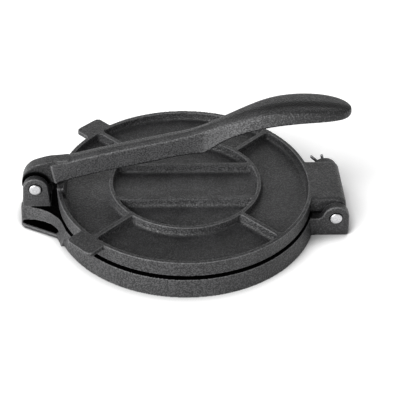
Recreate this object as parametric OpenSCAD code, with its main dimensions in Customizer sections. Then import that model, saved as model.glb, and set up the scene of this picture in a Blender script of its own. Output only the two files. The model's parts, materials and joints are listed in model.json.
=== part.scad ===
/* [Plates] */
// Radius of the upper plate
plate_r = 95.5; // [88:1:104]
// How far the base's top edge stands out past the upper plate
base_lip = 1.5; // [0.5:0.5:4]
// How much the base widens from its top edge down to the floor
base_draft = 2.3; // [1:0.1:4]
// Height of the base's outer edge
base_rim_h = 14.4; // [13:0.2:15.4]
// Height of the plane in which the two pressing faces meet
press_z = 16; // [15.8:0.2:18]
// Gap left between the closed pressing faces
press_gap = 0.3; // [0.1:0.1:0.6]
// Radius of the pressing faces
press_r = 90.5; // [84:0.5:91]
// Thickness of the base under its pressing face
base_web_t = 6; // [4:0.5:8]
// Wall of the base's skirt at the floor
skirt_t = 5.5; // [4:0.5:8]
// Width of the two ribs under the base
under_rib_w = 4; // [3:0.5:6]
// Height of the upper plate's rim above the pressing plane
plate_h = 12.3; // [11:0.1:14]
// Thickness of the upper plate inside its rim
plate_web_t = 6.2; // [5:0.1:8]
// How far the upper plate's outer edge is lifted off the pressing plane
plate_lip = 0.8; // [0.4:0.1:1.6]
// Width of the rim on top of the upper plate
rim_w = 3; // [2.5:0.1:4.5]

/* [Ribs on the upper plate] */
// Outer radius of the ring rib
ring_r = 57.2; // [45:0.1:65]
// Width of the ring rib on top
ring_w = 2.9; // [2:0.1:4]
// Distance of each straight rib from the middle
bar_y = 21; // [14:0.1:30]
// Width of the straight ribs on top
bar_w = 3.8; // [2.5:0.1:5]
// Width of the spokes on top
spoke_w = 3.4; // [2.5:0.1:5]
// How much each side of a rib widens down to the plate
rib_draft = 0.8; // [0.4:0.1:1.4]
// Angle of the spokes and of the finger tabs from the hinge line
spoke_a = 45; // [40:1:50]

/* [Finger tabs and lever pad] */
// Width of a finger tab
tab_w = 24; // [16:1:30]
// How far a finger tab stands out past the plate
tab_out = 13.4; // [8:0.2:18]
// Thickness of a finger tab
tab_t = 3.6; // [3:0.2:6]
// Corner radius of a finger tab
tab_corner = 3.5; // [2:0.5:6]
// Width of the pad that the lever bears on
pad_w = 24; // [14:1:28]
// Length of the pad's top from the plate's edge inwards
pad_l = 5; // [4:0.2:10]
// Height of the pad above the rim
pad_h = 2.1; // [0.6:0.1:2.2]

/* [Plate hinge] */
// Distance of both pivot pins past the base's top edge
pin_out = 14.3; // [14:0.1:18]
// Distance from the hinge pin to the end of its bracket at the floor
hinge_end = 10.6; // [10.5:0.1:14]
// Radius of the hinge ears
hinge_ear_r = 10; // [9.5:0.1:10.4]
// Thickness of the hinge ears
hinge_ear_t = 6.5; // [5:0.5:9]
// Width of the hinge barrel between the ears
barrel_w = 48.8; // [36:0.2:56]
// Radius of the hinge barrel round its pin
barrel_r = 8.2; // [7:0.1:9]
// Radius of the heel that rounds the tongue off above the barrel
heel_r = 6.4; // [5:0.2:8]
// Height of the shelf between the base and the hinge ears
shelf_z = 15.5; // [15:0.1:15.6]
// Height of the channel floor under the hinge barrel
channel_z = 5.4; // [3:0.2:5.6]

/* [Lever hinge] */
// Distance from the lever's pin to the end of its bracket at the floor
lever_end = 11.8; // [10.5:0.1:14]
// Height of the lever's pivot pin
lever_pin_z = 29.8; // [29.6:0.1:33]
// Radius of the lever ears
lever_ear_r = 9.2; // [8:0.1:10]
// Thickness of the lever ears
lever_ear_t = 5.6; // [4:0.2:8]
// Height of the slot floor between the lever ears
slot_z = 12; // [9:0.5:12.5]
// Radius of the hollow curve that runs from the lever ears to the base
flare_r = 36; // [30:1:42]
// Height of the undercut above the foot flange
undercut_h = 2.3; // [1:0.1:4]
// Depth of the undercut
undercut_d = 7; // [3:0.5:9]
// Thickness of the foot flange
flange_t = 3.2; // [2.4:0.2:5]
// Width of the foot flange's rim round its recess
flange_w = 3; // [2.4:0.2:5]
// Thickness of the floor in the foot flange's recess
recess_floor = 1.4; // [1:0.1:2]
// Half the width of the foot flange at its end
flange_half = 18.6; // [15:0.2:22]
// Slope of the foot flange's sides away from the lever hinge
flange_slope = 27.5; // [20:0.5:32]
// Side clearance of the barrel and of the lever between their ears
side_gap = 0.8; // [0.4:0.1:1.6]

/* [Lever] */
// Width of the knuckle between the lever ears
knuckle_w = 11.2; // [10:0.2:14]
// Radius of the knuckle round its pin
knuckle_r = 9.3; // [8:0.1:10]
// Radius of the hood that closes the knuckle off
hood_r = 22.5; // [20:0.5:26]
// Width of the arm
arm_w = 12.6; // [11:0.2:13.6]
// Depth of the arm along its middle
arm_depth = 14.4; // [12:0.2:18]
// Depth of the arm at the knuckle
root_depth = 19.4; // [17:0.2:21]
// Depth of the arm at the corner under the grip
corner_depth = 19.4; // [16:0.2:22]
// Width of the grip
grip_w = 33.6; // [22:0.2:36]
// Thickness of the grip
grip_t = 9.6; // [8:0.2:14]
// Reach of the lever from its pin to the tip of the grip
lever_reach = 230.6; // [210:0.2:250]
// Rise of the grip's middle line above the pin
grip_rise = 62.6; // [50:0.2:75]

/* [Pins] */
// Diameter of both clevis pins
pin_d = 6; // [5:0.5:7]
// Diameter of the pin heads
head_d = 8.8; // [8:0.1:11]
// Height of the pin heads
head_t = 1.4; // [1:0.1:3]
// Radial clearance of a pin in its bores
pin_fit = 0.06; // [0.03:0.01:0.1]
// How far a pin stands out past the far ear
tail = 5.4; // [4:0.2:8]
// Wire radius of a split pin's leg
wire_r = 0.55; // [0.4:0.05:0.7]
// Radius of a split pin's eye
eye_r = 2; // [1.6:0.1:3]
// Length of a split pin's long leg past the clevis pin
long_leg = 12; // [6:0.5:16]
// Length of a split pin's short leg past the clevis pin
short_leg = 8.4; // [5:0.5:12]

/* [Hidden] */

iron = "#343437";
steel = "#c9c9cb";
eps = 0.01;                 // overlap that joins two shapes into one solid
far = 400;                  // longer than any piece, for cuts that go right through
round_fn = 128;
arc_steps = 6;

base_r = plate_r + base_lip;
foot_r = base_r + base_draft;
pin_x = base_r + pin_out;
hinge_end_x = pin_x + hinge_end;
lever_end_x = pin_x + lever_end;
base_face_z = press_z - press_gap / 2;
base_web_z = base_face_z - base_web_t;
plate_face_z = press_z + press_gap / 2;
plate_lip_z = press_z + plate_lip;
floor_z = plate_face_z + plate_web_t;
rim_z = press_z + plate_h;
shoulder_w = 1.2;           // slope between a pressing face and its lowered edge
edge_r = 1;                 // rounding of the castings' outer edges
floor_fillet = 2.4;         // rounding where the rim meets the floor of the plate
cast_r = 2.6;               // rounding of the knuckle's and the tongue's long edges
hinge_ear_y = barrel_w / 2 + side_gap;
hinge_face_y = hinge_ear_y + hinge_ear_t;
lever_ear_y = knuckle_w / 2 + side_gap;
lever_face_y = lever_ear_y + lever_ear_t;
pin_r = pin_d / 2;
bore_r = pin_r + pin_fit;
cross_bore_r = 2 * wire_r + 0.2;
cross_bore_y = cross_bore_r + 0.9;   // from the far ear's face to the split pin
flange_run_in = 13;         // how far the foot flange runs in under the base's edge
lever_root = knuckle_r + 3.2;        // from the pin to the square end of the arm
hinge_split_turn = -43;     // lean of each split pin from upright, to the left when negative
lever_split_turn = 60;
long_leg_lean = 4;          // how far a split pin's legs are spread, each from the pin's own line
short_leg_lean = 24;

function unit(v) = v / norm(v);

// Points of an arc of radius r that rounds the corner b between a and c.
function corner(a, b, c, r) =
    let (u = unit(a - b), v = unit(c - b), half = acos(u * v) / 2,
         centre = b + unit(u + v) * r / sin(half),
         p = b + u * r / tan(half), q = b + v * r / tan(half),
         a0 = atan2(p[1] - centre[1], p[0] - centre[0]),
         turn = atan2(q[1] - centre[1], q[0] - centre[0]) - a0,
         sweep = turn > 180 ? turn - 360 : turn < -180 ? turn + 360 : turn)
    [for (i = [0:arc_steps]) centre + r * [cos(a0 + sweep * i / arc_steps),
                                           sin(a0 + sweep * i / arc_steps)]];

// An outline from [x, y, corner radius] rows; a radius of 0 keeps the corner sharp.
function outline(rows) =
    let (n = len(rows), at = function(i) [rows[(i + n) % n][0], rows[(i + n) % n][1]])
    [for (i = [0:n - 1])
        each rows[i][2] > 0 ? corner(at(i - 1), at(i), at(i + 1), rows[i][2]) : [at(i)]];

// Stands a drawing in X and Z up, as a slab of width w across Y.
module across(w) {
    translate([0, w / 2, 0]) rotate([90, 0, 0]) linear_extrude(w) children();
}

// Repeats a shape on the far side.
module both_sides() {
    children();
    mirror([0, 1, 0]) children();
}

// Bore or pin along Y.
module along_y(r, y0, y1, x, z) {
    translate([x, y0, z]) rotate([-90, 0, 0]) cylinder(h = y1 - y0, r = r, $fn = 64);
}

// ---- Base plate ----

module base_disc() {
    rotate_extrude($fn = round_fn)
        polygon(outline([
            [0, base_web_z, 0],
            [base_r - skirt_t, base_web_z, floor_fillet],
            [foot_r - skirt_t, 0, 0],
            [foot_r, 0, edge_r],
            [base_r, base_rim_h, edge_r],
            [press_r + shoulder_w, base_rim_h, 0],
            [press_r, base_face_z, 0],
            [0, base_face_z, 0]]));
    for (a = [0, 90])
        rotate(a) translate([skirt_t - base_r, -under_rib_w / 2, base_web_z / 2])
            cube([2 * (base_r - skirt_t), under_rib_w, base_web_z / 2 + eps]);
}

// Plan of the web that carries the lever ears, drawn in by inset on its hollow sides.
module flare_plan(inset) {
    flare_half = base_r * sin(26);
    difference() {
        translate([-lever_end_x, -flare_half])
            square([lever_end_x - base_r * cos(26), 2 * flare_half]);
        for (s = [-1, 1])
            translate([-lever_end_x, s * (lever_face_y + flare_r)]) circle(flare_r + inset, $fn = round_fn);
    }
}

// Plan of the foot flange, drawn in by inset all round.
module flange_plan(inset) {
    run = lever_end_x - base_r + flange_run_in;
    half = flange_half - inset / cos(flange_slope) + inset * tan(flange_slope);
    far_half = flange_half - inset / cos(flange_slope) + run * tan(flange_slope);
    round_r = inset > 0 ? 1 : 4;
    polygon(outline([
        [inset - lever_end_x, -half, round_r],
        [run - lever_end_x, -far_half, 0],
        [run - lever_end_x, far_half, 0],
        [inset - lever_end_x, half, round_r]]));
}

// Side view of one lever ear with its leg down to the floor.
module lever_ear_side() {
    leg_x = lever_ear_r + 1.2 - pin_x;
    translate([-pin_x, lever_pin_z]) circle(lever_ear_r, $fn = 64);
    polygon([[-lever_end_x, 0], [leg_x, 0], [leg_x, base_rim_h],
             [lever_ear_r - pin_x, lever_pin_z], [-lever_ear_r - pin_x, lever_pin_z]]);
}

module lever_bracket() {
    web_z = flange_t + undercut_h;
    intersection() {
        difference() {
            union() {
                linear_extrude(flange_t) difference() {
                    flange_plan(0);
                    flange_plan(flange_w);
                }
                linear_extrude(recess_floor) flange_plan(0);
                linear_extrude(web_z + eps) flare_plan(undercut_d);
                translate([0, 0, web_z]) linear_extrude(base_rim_h - web_z) flare_plan(0);
                both_sides() translate([0, lever_ear_y + lever_ear_t / 2, 0])
                    across(lever_ear_t) lever_ear_side();
            }
            translate([-lever_end_x - eps, -lever_ear_y, slot_z])
                cube([lever_end + lever_ear_r + side_gap, 2 * lever_ear_y, far]);
        }
        across(far) polygon([
            [-lever_end_x, 0], [0, 0], [0, far],
            [-lever_ear_r - pin_x, far], [-lever_ear_r - pin_x, lever_pin_z]]);
    }
}

// Side view of the hinge block with its ear.
module hinge_side() {
    fillet = 4;
    translate([pin_x, press_z]) circle(hinge_ear_r, $fn = 64);
    polygon(outline([
        [press_r, 0, 0],
        [hinge_end_x, 0, 2],
        [pin_x + hinge_ear_r, shelf_z, 0],
        [press_r, shelf_z, 0]]));
    difference() {
        translate([pin_x - hinge_ear_r - fillet + 1, shelf_z - 1]) square([fillet, fillet]);
        translate([pin_x - hinge_ear_r - fillet + 0.4, shelf_z + fillet]) circle(fillet, $fn = 64);
    }
}

module hinge_bracket() {
    difference() {
        across(2 * hinge_face_y) hinge_side();
        translate([pin_x - barrel_r - side_gap, -hinge_ear_y, channel_z])
            cube([far, 2 * hinge_ear_y, far]);
        translate([0, -hinge_ear_y, shelf_z]) cube([far, 2 * hinge_ear_y, far]);
    }
}

module base_plate() {
    color(iron) difference() {
        union() {
            base_disc();
            difference() {
                union() {
                    lever_bracket();
                    hinge_bracket();
                }
                translate([0, 0, -eps]) cylinder(h = base_web_z + eps, r = base_r - skirt_t, $fn = round_fn);
                translate([0, 0, base_web_z]) cylinder(h = far, r = press_r + shoulder_w, $fn = round_fn);
            }
        }
        along_y(bore_r, -far, far, pin_x, press_z);
        along_y(bore_r, -far, far, -pin_x, lever_pin_z);
    }
}

// ---- Upper plate ----

module plate_disc() {
    rotate_extrude($fn = round_fn)
        polygon(outline([
            [0, plate_face_z, 0],
            [press_r, plate_face_z, 0],
            [press_r + shoulder_w, plate_lip_z, 0],
            [plate_r, plate_lip_z, 0],
            [plate_r, rim_z, edge_r],
            [plate_r - rim_w, rim_z, 0],
            [plate_r - rim_w - rib_draft, floor_z, floor_fillet],
            [0, floor_z, 0]]));
}

module ring_rib() {
    rotate_extrude($fn = round_fn)
        polygon([
            [ring_r - ring_w - rib_draft, floor_z - eps],
            [ring_r + rib_draft, floor_z - eps],
            [ring_r, rim_z],
            [ring_r - ring_w, rim_z]]);
}

// Straight rib from x0 to x1, with sides that widen down to the plate.
module rib(x0, x1, w) {
    translate([x0, 0, 0]) rotate([90, 0, 90]) linear_extrude(x1 - x0)
        polygon([
            [-w / 2 - rib_draft, floor_z - eps],
            [w / 2 + rib_draft, floor_z - eps],
            [w / 2, rim_z],
            [-w / 2, rim_z]]);
}

module finger_tab() {
    reach = plate_r + tab_out;
    translate([0, 0, rim_z - tab_t]) linear_extrude(tab_t)
        polygon(outline([
            [plate_r - rim_w, -tab_w / 2, 0],
            [reach, -tab_w / 2, tab_corner],
            [reach, tab_w / 2, tab_corner],
            [plate_r - rim_w, tab_w / 2, 0]]));
}

// Pad that the lever bears on, with a sloped inner side.
module lever_pad() {
    edge_x = 0.4 - plate_r;
    across(pad_w) polygon([
        [edge_x, floor_z - eps],
        [edge_x + pad_l + 2 * rib_draft, floor_z - eps],
        [edge_x + pad_l, rim_z + pad_h],
        [edge_x, rim_z + pad_h]]);
}

// Tongue and barrel of the plate hinge, with rounded long edges.
module tongue() {
    heel_x = pin_x + barrel_r - heel_r;
    half = barrel_w / 2;
    difference() {
        intersection() {
            rotate([90, 0, 90]) linear_extrude(far) polygon(outline([
                [-half, 0, 0], [half, 0, 0], [half, rim_z, cast_r], [-half, rim_z, cast_r]]));
        across(barrel_w) {
            translate([pin_x, press_z]) circle(barrel_r, $fn = 64);
            translate([heel_x, rim_z - heel_r]) circle(heel_r, $fn = 64);
            translate([press_r - rim_w - 4, plate_lip_z])
                square([heel_x - press_r + rim_w + 4, plate_h - plate_lip]);
            translate([pin_x - barrel_r, press_z]) square([2 * barrel_r, plate_h - heel_r]);
        }
        }
        translate([0, 0, floor_z]) cylinder(h = far, r = plate_r - rim_w, $fn = round_fn);
    }
}

module top_plate() {
    bar_half = sqrt(pow(ring_r - ring_w / 2, 2) - pow(bar_y, 2));
    color(iron) difference() {
        union() {
            plate_disc();
            ring_rib();
            both_sides() translate([0, bar_y, 0]) rib(-bar_half, bar_half, bar_w);
            for (a = [spoke_a, -spoke_a, 180 - spoke_a, spoke_a - 180])
                rotate(a) rib(ring_r - ring_w / 2, plate_r - rim_w / 2, spoke_w);
            for (a = [180 - spoke_a, spoke_a - 180]) rotate(a) finger_tab();
            lever_pad();
            tongue();
        }
        along_y(bore_r, -far, far, pin_x, press_z);
    }
}

// ---- Lever ----

// Cross-sections of the lever: place along it from the arm's root to the tip, height of the middle
// line as a share of grip_rise, depth, share of the way from the arm's width to the grip's, squareness.
lever_rows = [
    [0.000, 0.149, root_depth, -0.06, 7],
    [0.010, 0.158, root_depth - 0.5, 0, 7],
    [0.030, 0.175, (root_depth + arm_depth) / 2 + 0.4, 0, 7],
    [0.060, 0.201, arm_depth + 1.2, 0, 7],
    [0.110, 0.249, arm_depth, 0, 7],
    [0.160, 0.298, arm_depth, 0, 7],
    [0.230, 0.348, arm_depth, 0, 7],
    [0.295, 0.403, arm_depth + 0.2, 0, 7],
    [0.360, 0.460, arm_depth + 0.8, 0, 7],
    [0.430, 0.521, arm_depth + 1.2, 0, 7],
    [0.490, 0.566, corner_depth - 2.4, 0, 7],
    [0.518, 0.589, corner_depth, 0.02, 6.5],
    [0.544, 0.644, corner_depth - 3.2, 0.05, 6],
    [0.562, 0.686, corner_depth - 5.4, 0.11, 5.5],
    [0.592, 0.755, grip_t + 1.8, 0.28, 4.5],
    [0.624, 0.813, grip_t + 0.6, 0.47, 4],
    [0.656, 0.863, grip_t + 0.2, 0.66, 3.5],
    [0.695, 0.914, grip_t, 0.85, 3.2],
    [0.752, 0.964, grip_t, 1.00, 3],
    [0.818, 0.995, grip_t, 1.00, 3],
    [0.880, 1.000, grip_t, 0.92, 2.8],
    [0.932, 0.990, grip_t - 0.2, 0.71, 2.6],
    [0.963, 0.976, grip_t - 1, 0.40, 2.4],
    [0.985, 0.957, grip_t - 2.6, -0.03, 2.2],
    [0.996, 0.944, grip_t - 4.8, -0.36, 2],
    [1.000, 0.939, grip_t - 6.6, -0.49, 2]];
grip_from = 0.52;           // share of the way along the lever at which the grip begins
crown = 0.38;               // share of the grip's thickness that lies above its widest line

side_points = 28;
row_steps = 2;

// A curve through four rows, at share t between the middle two.
function blend(a, b, c, d, t) =
    (2 * b + (c - a) * t + (2 * a - 5 * b + 4 * c - d) * t * t + (3 * b - a - 3 * c + d) * t * t * t) / 2;

// One cross-section: a rounded box of the given width and depth, in the plane across the lever.
function slice(row) =
    let (x = lever_root + row[0] * (lever_reach - lever_root),
         half_w = (arm_w + row[3] * (grip_w - arm_w)) / 2,
         top = lookup(row[0], [[grip_from, 0.5], [0.66, crown]]),
         widest = row[1] * grip_rise + (0.5 - top) * row[2], power = 2 / row[4])
    [for (i = [0:side_points - 1])
        let (a = 360 * i / side_points, half_d = row[2] * (sin(a) > 0 ? top : 1 - top))
        [x,
         half_w * sign(cos(a)) * pow(abs(cos(a)), power),
         widest + half_d * sign(sin(a)) * pow(abs(sin(a)), power)]];

module arm_and_grip() {
    rows = lever_rows;
    last = len(rows) - 1;
    at = function(i) rows[max(0, min(last, i))];
    slices = [for (i = [0:last - 1], k = [0:row_steps - 1])
                 slice(blend(at(i - 1), at(i), at(i + 1), at(i + 2), k / row_steps)),
              slice(rows[last])];
    n = side_points;
    count = len(slices);
    polyhedron(
        points = [for (s = slices) each s],
        faces = [
            [for (j = [0:n - 1]) j],
            for (i = [0:count - 2], j = [0:n - 1])
                [i * n + j, (i + 1) * n + j, (i + 1) * n + (j + 1) % n, i * n + (j + 1) % n],
            [for (j = [n - 1:-1:0]) (count - 1) * n + j]]);
}

// Disc of radius r about the Y axis, as wide as the knuckle and with rounded edges.
module cheek(r) {
    rotate([90, 0, 0]) rotate_extrude($fn = round_fn)
        polygon(outline([
            [0, -knuckle_w / 2, 0], [r, -knuckle_w / 2, cast_r],
            [r, knuckle_w / 2, cast_r], [0, knuckle_w / 2, 0]]));
}

module knuckle() {
    hood_z = -0.26 * hood_r;
    hood_x = sqrt(pow(hood_r, 2) - pow(hood_z, 2)) - knuckle_r;
    cheek(knuckle_r);
    intersection() {
        translate([hood_x, 0, hood_z]) cheek(hood_r);
        translate([-knuckle_r, -knuckle_w / 2, -eps])
            cube([knuckle_r + lever_root + 1.5, knuckle_w, hood_r]);
    }
}

module press_lever() {
    color(iron) translate([-pin_x, 0, lever_pin_z]) difference() {
        union() {
            knuckle();
            arm_and_grip();
        }
        along_y(bore_r, -far, far, 0, 0);
    }
}

// ---- Pins ----

// Clevis pin along Y: domed head on the near ear's face, tail past the far ear's face.
module clevis_pin(face_y, turn) {
    difference() {
        translate([0, -face_y, 0]) rotate([-90, 0, 0]) rotate_extrude($fn = 64)
            polygon(outline([
                [0, -head_t, 0],
                [head_d / 2 - 1.2, -head_t, 0],
                [head_d / 2, -head_t / 2, 0],
                [head_d / 2, 0, 0],
                [pin_r, 0, 0],
                [pin_r, 2 * face_y + tail - 0.6, 0],
                [pin_r - 0.6, 2 * face_y + tail, 0],
                [0, 2 * face_y + tail, 0]]));
        translate([0, face_y + cross_bore_y, 0]) rotate([0, turn, 0])
            cylinder(h = far, r = cross_bore_r, center = true, $fn = 32);
    }
}

// A leg of wire from p to q.
module wire(p, q) {
    v = q - p;
    translate(p) rotate([0, acos(v[2] / norm(v)), atan2(v[1], v[0])])
        cylinder(h = norm(v), r = wire_r, $fn = 32);
}

// Split pin with its legs pointing up and its eye below the clevis pin.
module split_pin() {
    half = 0.9 * wire_r;
    bend_z = pin_r + 0.5;
    for (leg = [[-1, long_leg_lean, long_leg], [1, short_leg_lean, short_leg]]) {
        foot = [leg[0] * half, 0, -bend_z - 0.4];
        knee = [leg[0] * half, 0, bend_z];
        tip = knee + leg[2] * [leg[0] * sin(leg[1]), 0, cos(leg[1])];
        wire(foot, knee);
        wire(knee, tip);
        translate(knee) sphere(1.04 * wire_r, $fn = 32);
    }
    translate([0, 0, -bend_z - eye_r - 0.4]) rotate([90, 0, 0])
        rotate_extrude($fn = 64) translate([eye_r, 0]) circle(wire_r, $fn = 32);
}

module hinge_pin() {
    color(steel) translate([pin_x, 0, press_z]) clevis_pin(hinge_face_y, hinge_split_turn);
}

module lever_pin() {
    color(steel) translate([-pin_x, 0, lever_pin_z]) clevis_pin(lever_face_y, lever_split_turn);
}

module hinge_split_pin() {
    color(steel) translate([pin_x, hinge_face_y + cross_bore_y, press_z])
        rotate([0, hinge_split_turn, 0]) split_pin();
}

module lever_split_pin() {
    color(steel) translate([-pin_x, lever_face_y + cross_bore_y, lever_pin_z])
        rotate([0, lever_split_turn, 0]) split_pin();
}

base_plate();
top_plate();
press_lever();
hinge_pin();
lever_pin();
hinge_split_pin();
lever_split_pin();
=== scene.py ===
"""Studio scene of a cast-iron tortilla press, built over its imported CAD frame.

The castings are modelled here with their soft cast edges and ride on the frame's bodies, the pins
are turned and bent from plain stock, and every piece gets a procedural finish. All sizes are in
metres, in the frame's own axes: +X runs from the lever's pivot to the plate hinge, +Z is up.
"""

import json
import logging
import math
from collections.abc import Callable, Iterator
from contextlib import contextmanager
from dataclasses import astuple, dataclass, field
from enum import Enum

import bmesh
import bpy
import numpy as np
from mathutils import Matrix, Vector

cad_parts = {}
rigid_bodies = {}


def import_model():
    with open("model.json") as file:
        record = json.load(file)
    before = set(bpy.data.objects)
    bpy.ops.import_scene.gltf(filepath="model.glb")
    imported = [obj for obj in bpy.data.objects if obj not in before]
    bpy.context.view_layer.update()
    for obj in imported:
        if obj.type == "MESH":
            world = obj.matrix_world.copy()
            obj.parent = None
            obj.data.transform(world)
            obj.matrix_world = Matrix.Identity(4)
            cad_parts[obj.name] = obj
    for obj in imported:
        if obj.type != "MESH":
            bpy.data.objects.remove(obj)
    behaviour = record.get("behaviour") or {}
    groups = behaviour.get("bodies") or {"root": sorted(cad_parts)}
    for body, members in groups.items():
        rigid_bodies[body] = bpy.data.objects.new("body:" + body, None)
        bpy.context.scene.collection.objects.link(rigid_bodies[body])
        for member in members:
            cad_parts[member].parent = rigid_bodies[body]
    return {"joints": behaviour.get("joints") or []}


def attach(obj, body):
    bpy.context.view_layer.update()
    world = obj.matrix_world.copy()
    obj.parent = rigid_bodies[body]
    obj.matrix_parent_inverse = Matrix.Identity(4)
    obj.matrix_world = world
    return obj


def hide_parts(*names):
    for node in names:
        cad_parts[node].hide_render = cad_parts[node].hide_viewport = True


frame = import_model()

log = logging.getLogger("press")

Piece = bpy.types.Object
Finish = bpy.types.Material
Socket = bpy.types.NodeSocket
Pair = tuple[float, float]
Place = tuple[float, float, float]
Colour = tuple[float, float, float]

MM = 0.001

# Places closer than this count as one
HAIR = 0.01 * MM
# A face whose normal has this much of a direction faces that way
FACING = 0.9
# Sides of the plates and of the cutters that shape the foot
ROUND = 160
# Where nearly all values of a noise lie
NOISE_SPAN = (0.3, 0.7)


class Body(Enum):
    """Bodies of the frame that the pieces ride on."""

    BASE = "base"
    UPPER = "upper_plate"
    LEVER = "lever"


class Slot(Enum):
    """Material slots of the record."""

    IRON = "cast_iron"
    STEEL = "pin_steel"


# ---- Modelling helpers ----


def select_only(obj: Piece) -> None:
    """Selects this object alone and makes it active.

    Args:
        obj: The object.
    """
    if bpy.context.object is not None and bpy.context.object.mode != "OBJECT":
        bpy.ops.object.mode_set(mode="OBJECT")
    for other in bpy.context.scene.objects:
        other.select_set(other == obj)
    bpy.context.view_layer.objects.active = obj


@contextmanager
def editing(obj: Piece, kind: str = "FACE") -> Iterator[None]:
    """Opens a mesh in edit mode with nothing selected, and closes it again.

    Args:
        obj: The mesh object.
        kind: What is selected in it: "VERT", "EDGE" or "FACE".
    """
    select_only(obj)
    bpy.ops.object.mode_set(mode="EDIT")
    bpy.ops.mesh.select_mode(type=kind)
    bpy.ops.mesh.select_all(action="DESELECT")
    yield
    bpy.ops.object.mode_set(mode="OBJECT")


def pick_faces(obj: Piece, wanted: Callable[[Vector, Vector], bool]) -> None:
    """Selects the faces of the mesh being edited by their centre and normal.

    Args:
        obj: The mesh object, in edit mode.
        wanted: Takes a face's centre and normal and says whether it is selected.
    """
    bm = bmesh.from_edit_mesh(obj.data)
    bm.normal_update()
    for face in bm.faces:
        face.select_set(wanted(face.calc_center_median(), face.normal))
    bm.select_flush_mode()
    bmesh.update_edit_mesh(obj.data)


def pick_edges(obj: Piece, wanted: Callable[[Vector, Vector], bool]) -> None:
    """Selects the edges of the mesh being edited by the places of their two ends.

    Args:
        obj: The mesh object, in edit mode.
        wanted: Takes an edge's two ends and says whether it is selected.
    """
    bm = bmesh.from_edit_mesh(obj.data)
    for edge in bm.edges:
        edge.select_set(False)
    for edge in bm.edges:
        if wanted(edge.verts[0].co, edge.verts[1].co):
            edge.select_set(True)
    bm.select_flush_mode()
    bmesh.update_edit_mesh(obj.data)


def extrude(by: Place | Vector) -> None:
    """Extrudes what is selected in the mesh being edited."""
    bpy.ops.mesh.extrude_region_move(TRANSFORM_OT_translate={"value": by})


def turn_faces_out() -> None:
    """Selects the whole mesh being edited and turns its faces outwards."""
    bpy.ops.mesh.select_all(action="SELECT")
    bpy.ops.mesh.normals_make_consistent(inside=False)


def settle(name: str, obj: Piece | None = None) -> Piece:
    """Names an object and puts its place and turn into its mesh.

    Args:
        name: The name for the object.
        obj: The object, or None for the primitive that was just added.

    Returns:
        The object, at the origin.
    """
    obj = obj or bpy.context.object
    obj.name = name
    select_only(obj)
    bpy.ops.object.transform_apply(location=True, rotation=True, scale=True)
    return obj


def drum(name: str, r_low: float, r_high: float, z_low: float, z_high: float,
         sides: int = 128) -> Piece:
    """Adds an upright drum about the Z axis, which may taper.

    Args:
        name: The name for the object.
        r_low: Radius at the bottom.
        r_high: Radius at the top.
        z_low: Height of the bottom.
        z_high: Height of the top.
        sides: Number of sides.

    Returns:
        The new object.
    """
    bpy.ops.mesh.primitive_cone_add(vertices=sides, radius1=r_low, radius2=r_high,
                                    depth=z_high - z_low, location=(0, 0, (z_low + z_high) / 2))
    return settle(name)


def roller(name: str, r: float, y_low: float, y_high: float, x: float, z: float,
           sides: int = 64) -> Piece:
    """Adds a cylinder that lies along the Y axis.

    Args:
        name: The name for the object.
        r: Its radius.
        y_low: Its near end.
        y_high: Its far end.
        x: Place of its axis along X.
        z: Height of its axis.
        sides: Number of sides.

    Returns:
        The new object.
    """
    bpy.ops.mesh.primitive_cylinder_add(vertices=sides, radius=r, depth=y_high - y_low,
                                        location=(x, (y_low + y_high) / 2, z),
                                        rotation=(math.pi / 2, 0, 0))
    return settle(name)


def block(name: str, low: Place, high: Place) -> Piece:
    """Adds a box between two corners.

    Args:
        name: The name for the object.
        low: Its lowest corner.
        high: Its highest corner.

    Returns:
        The new object.
    """
    middle = [(a + b) / 2 for a, b in zip(low, high)]
    bpy.ops.mesh.primitive_cube_add(size=1, location=middle,
                                    scale=[b - a for a, b in zip(low, high)])
    return settle(name)


def slab(name: str, outline: list[Pair], y_low: float, y_high: float,
         rounding: float = 0.0) -> Piece:
    """Stands an outline in X and Z up as a slab across Y.

    Args:
        name: The name for the object.
        outline: Its corners in X and Z.
        y_low: Its near face.
        y_high: Its far face.
        rounding: Rounding of the edges round both faces.

    Returns:
        The new object.
    """
    bpy.ops.mesh.primitive_circle_add(vertices=len(outline), radius=1, fill_type="NGON")
    made = settle(name)
    for point, (x, z) in zip(made.data.vertices, outline):
        point.co = (x, y_low, z)
    with editing(made):
        bpy.ops.mesh.select_all(action="SELECT")
        extrude((0, y_high - y_low, 0))
        turn_faces_out()
    if rounding:
        with editing(made, "EDGE"):
            pick_edges(made, lambda a, b: abs(a.y - b.y) < HAIR)
            bpy.ops.mesh.bevel(offset=rounding, segments=4, loop_slide=False)
    return made


def arc(x: float, z: float, r: float, start: float, end: float,
        steps: int = 12) -> list[Pair]:
    """Gives the points of an arc in X and Z.

    Args:
        x: Its centre along X.
        z: Height of its centre.
        r: Its radius.
        start: Angle of its first point, in degrees from +X towards +Z.
        end: Angle of its last point.
        steps: Number of steps.

    Returns:
        The points, from start to end.
    """
    angles = [math.radians(start + (end - start) * k / steps) for k in range(steps + 1)]
    return [(x + r * math.cos(a), z + r * math.sin(a)) for a in angles]


def turn_about_z(obj: Piece, name: str, angle: float, keep: bool = False) -> Piece:
    """Turns a piece about the Z axis.

    Args:
        obj: The piece.
        name: The name for what is turned.
        angle: The angle to turn it by, in radians.
        keep: Whether the piece stays where it is and a copy of it is turned.

    Returns:
        What was turned.
    """
    if keep:
        select_only(obj)
        bpy.ops.object.duplicate(linked=False)
        obj = bpy.context.object
    obj.matrix_world = Matrix.Rotation(angle, 4, "Z") @ obj.matrix_world
    return settle(name, obj)


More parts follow.
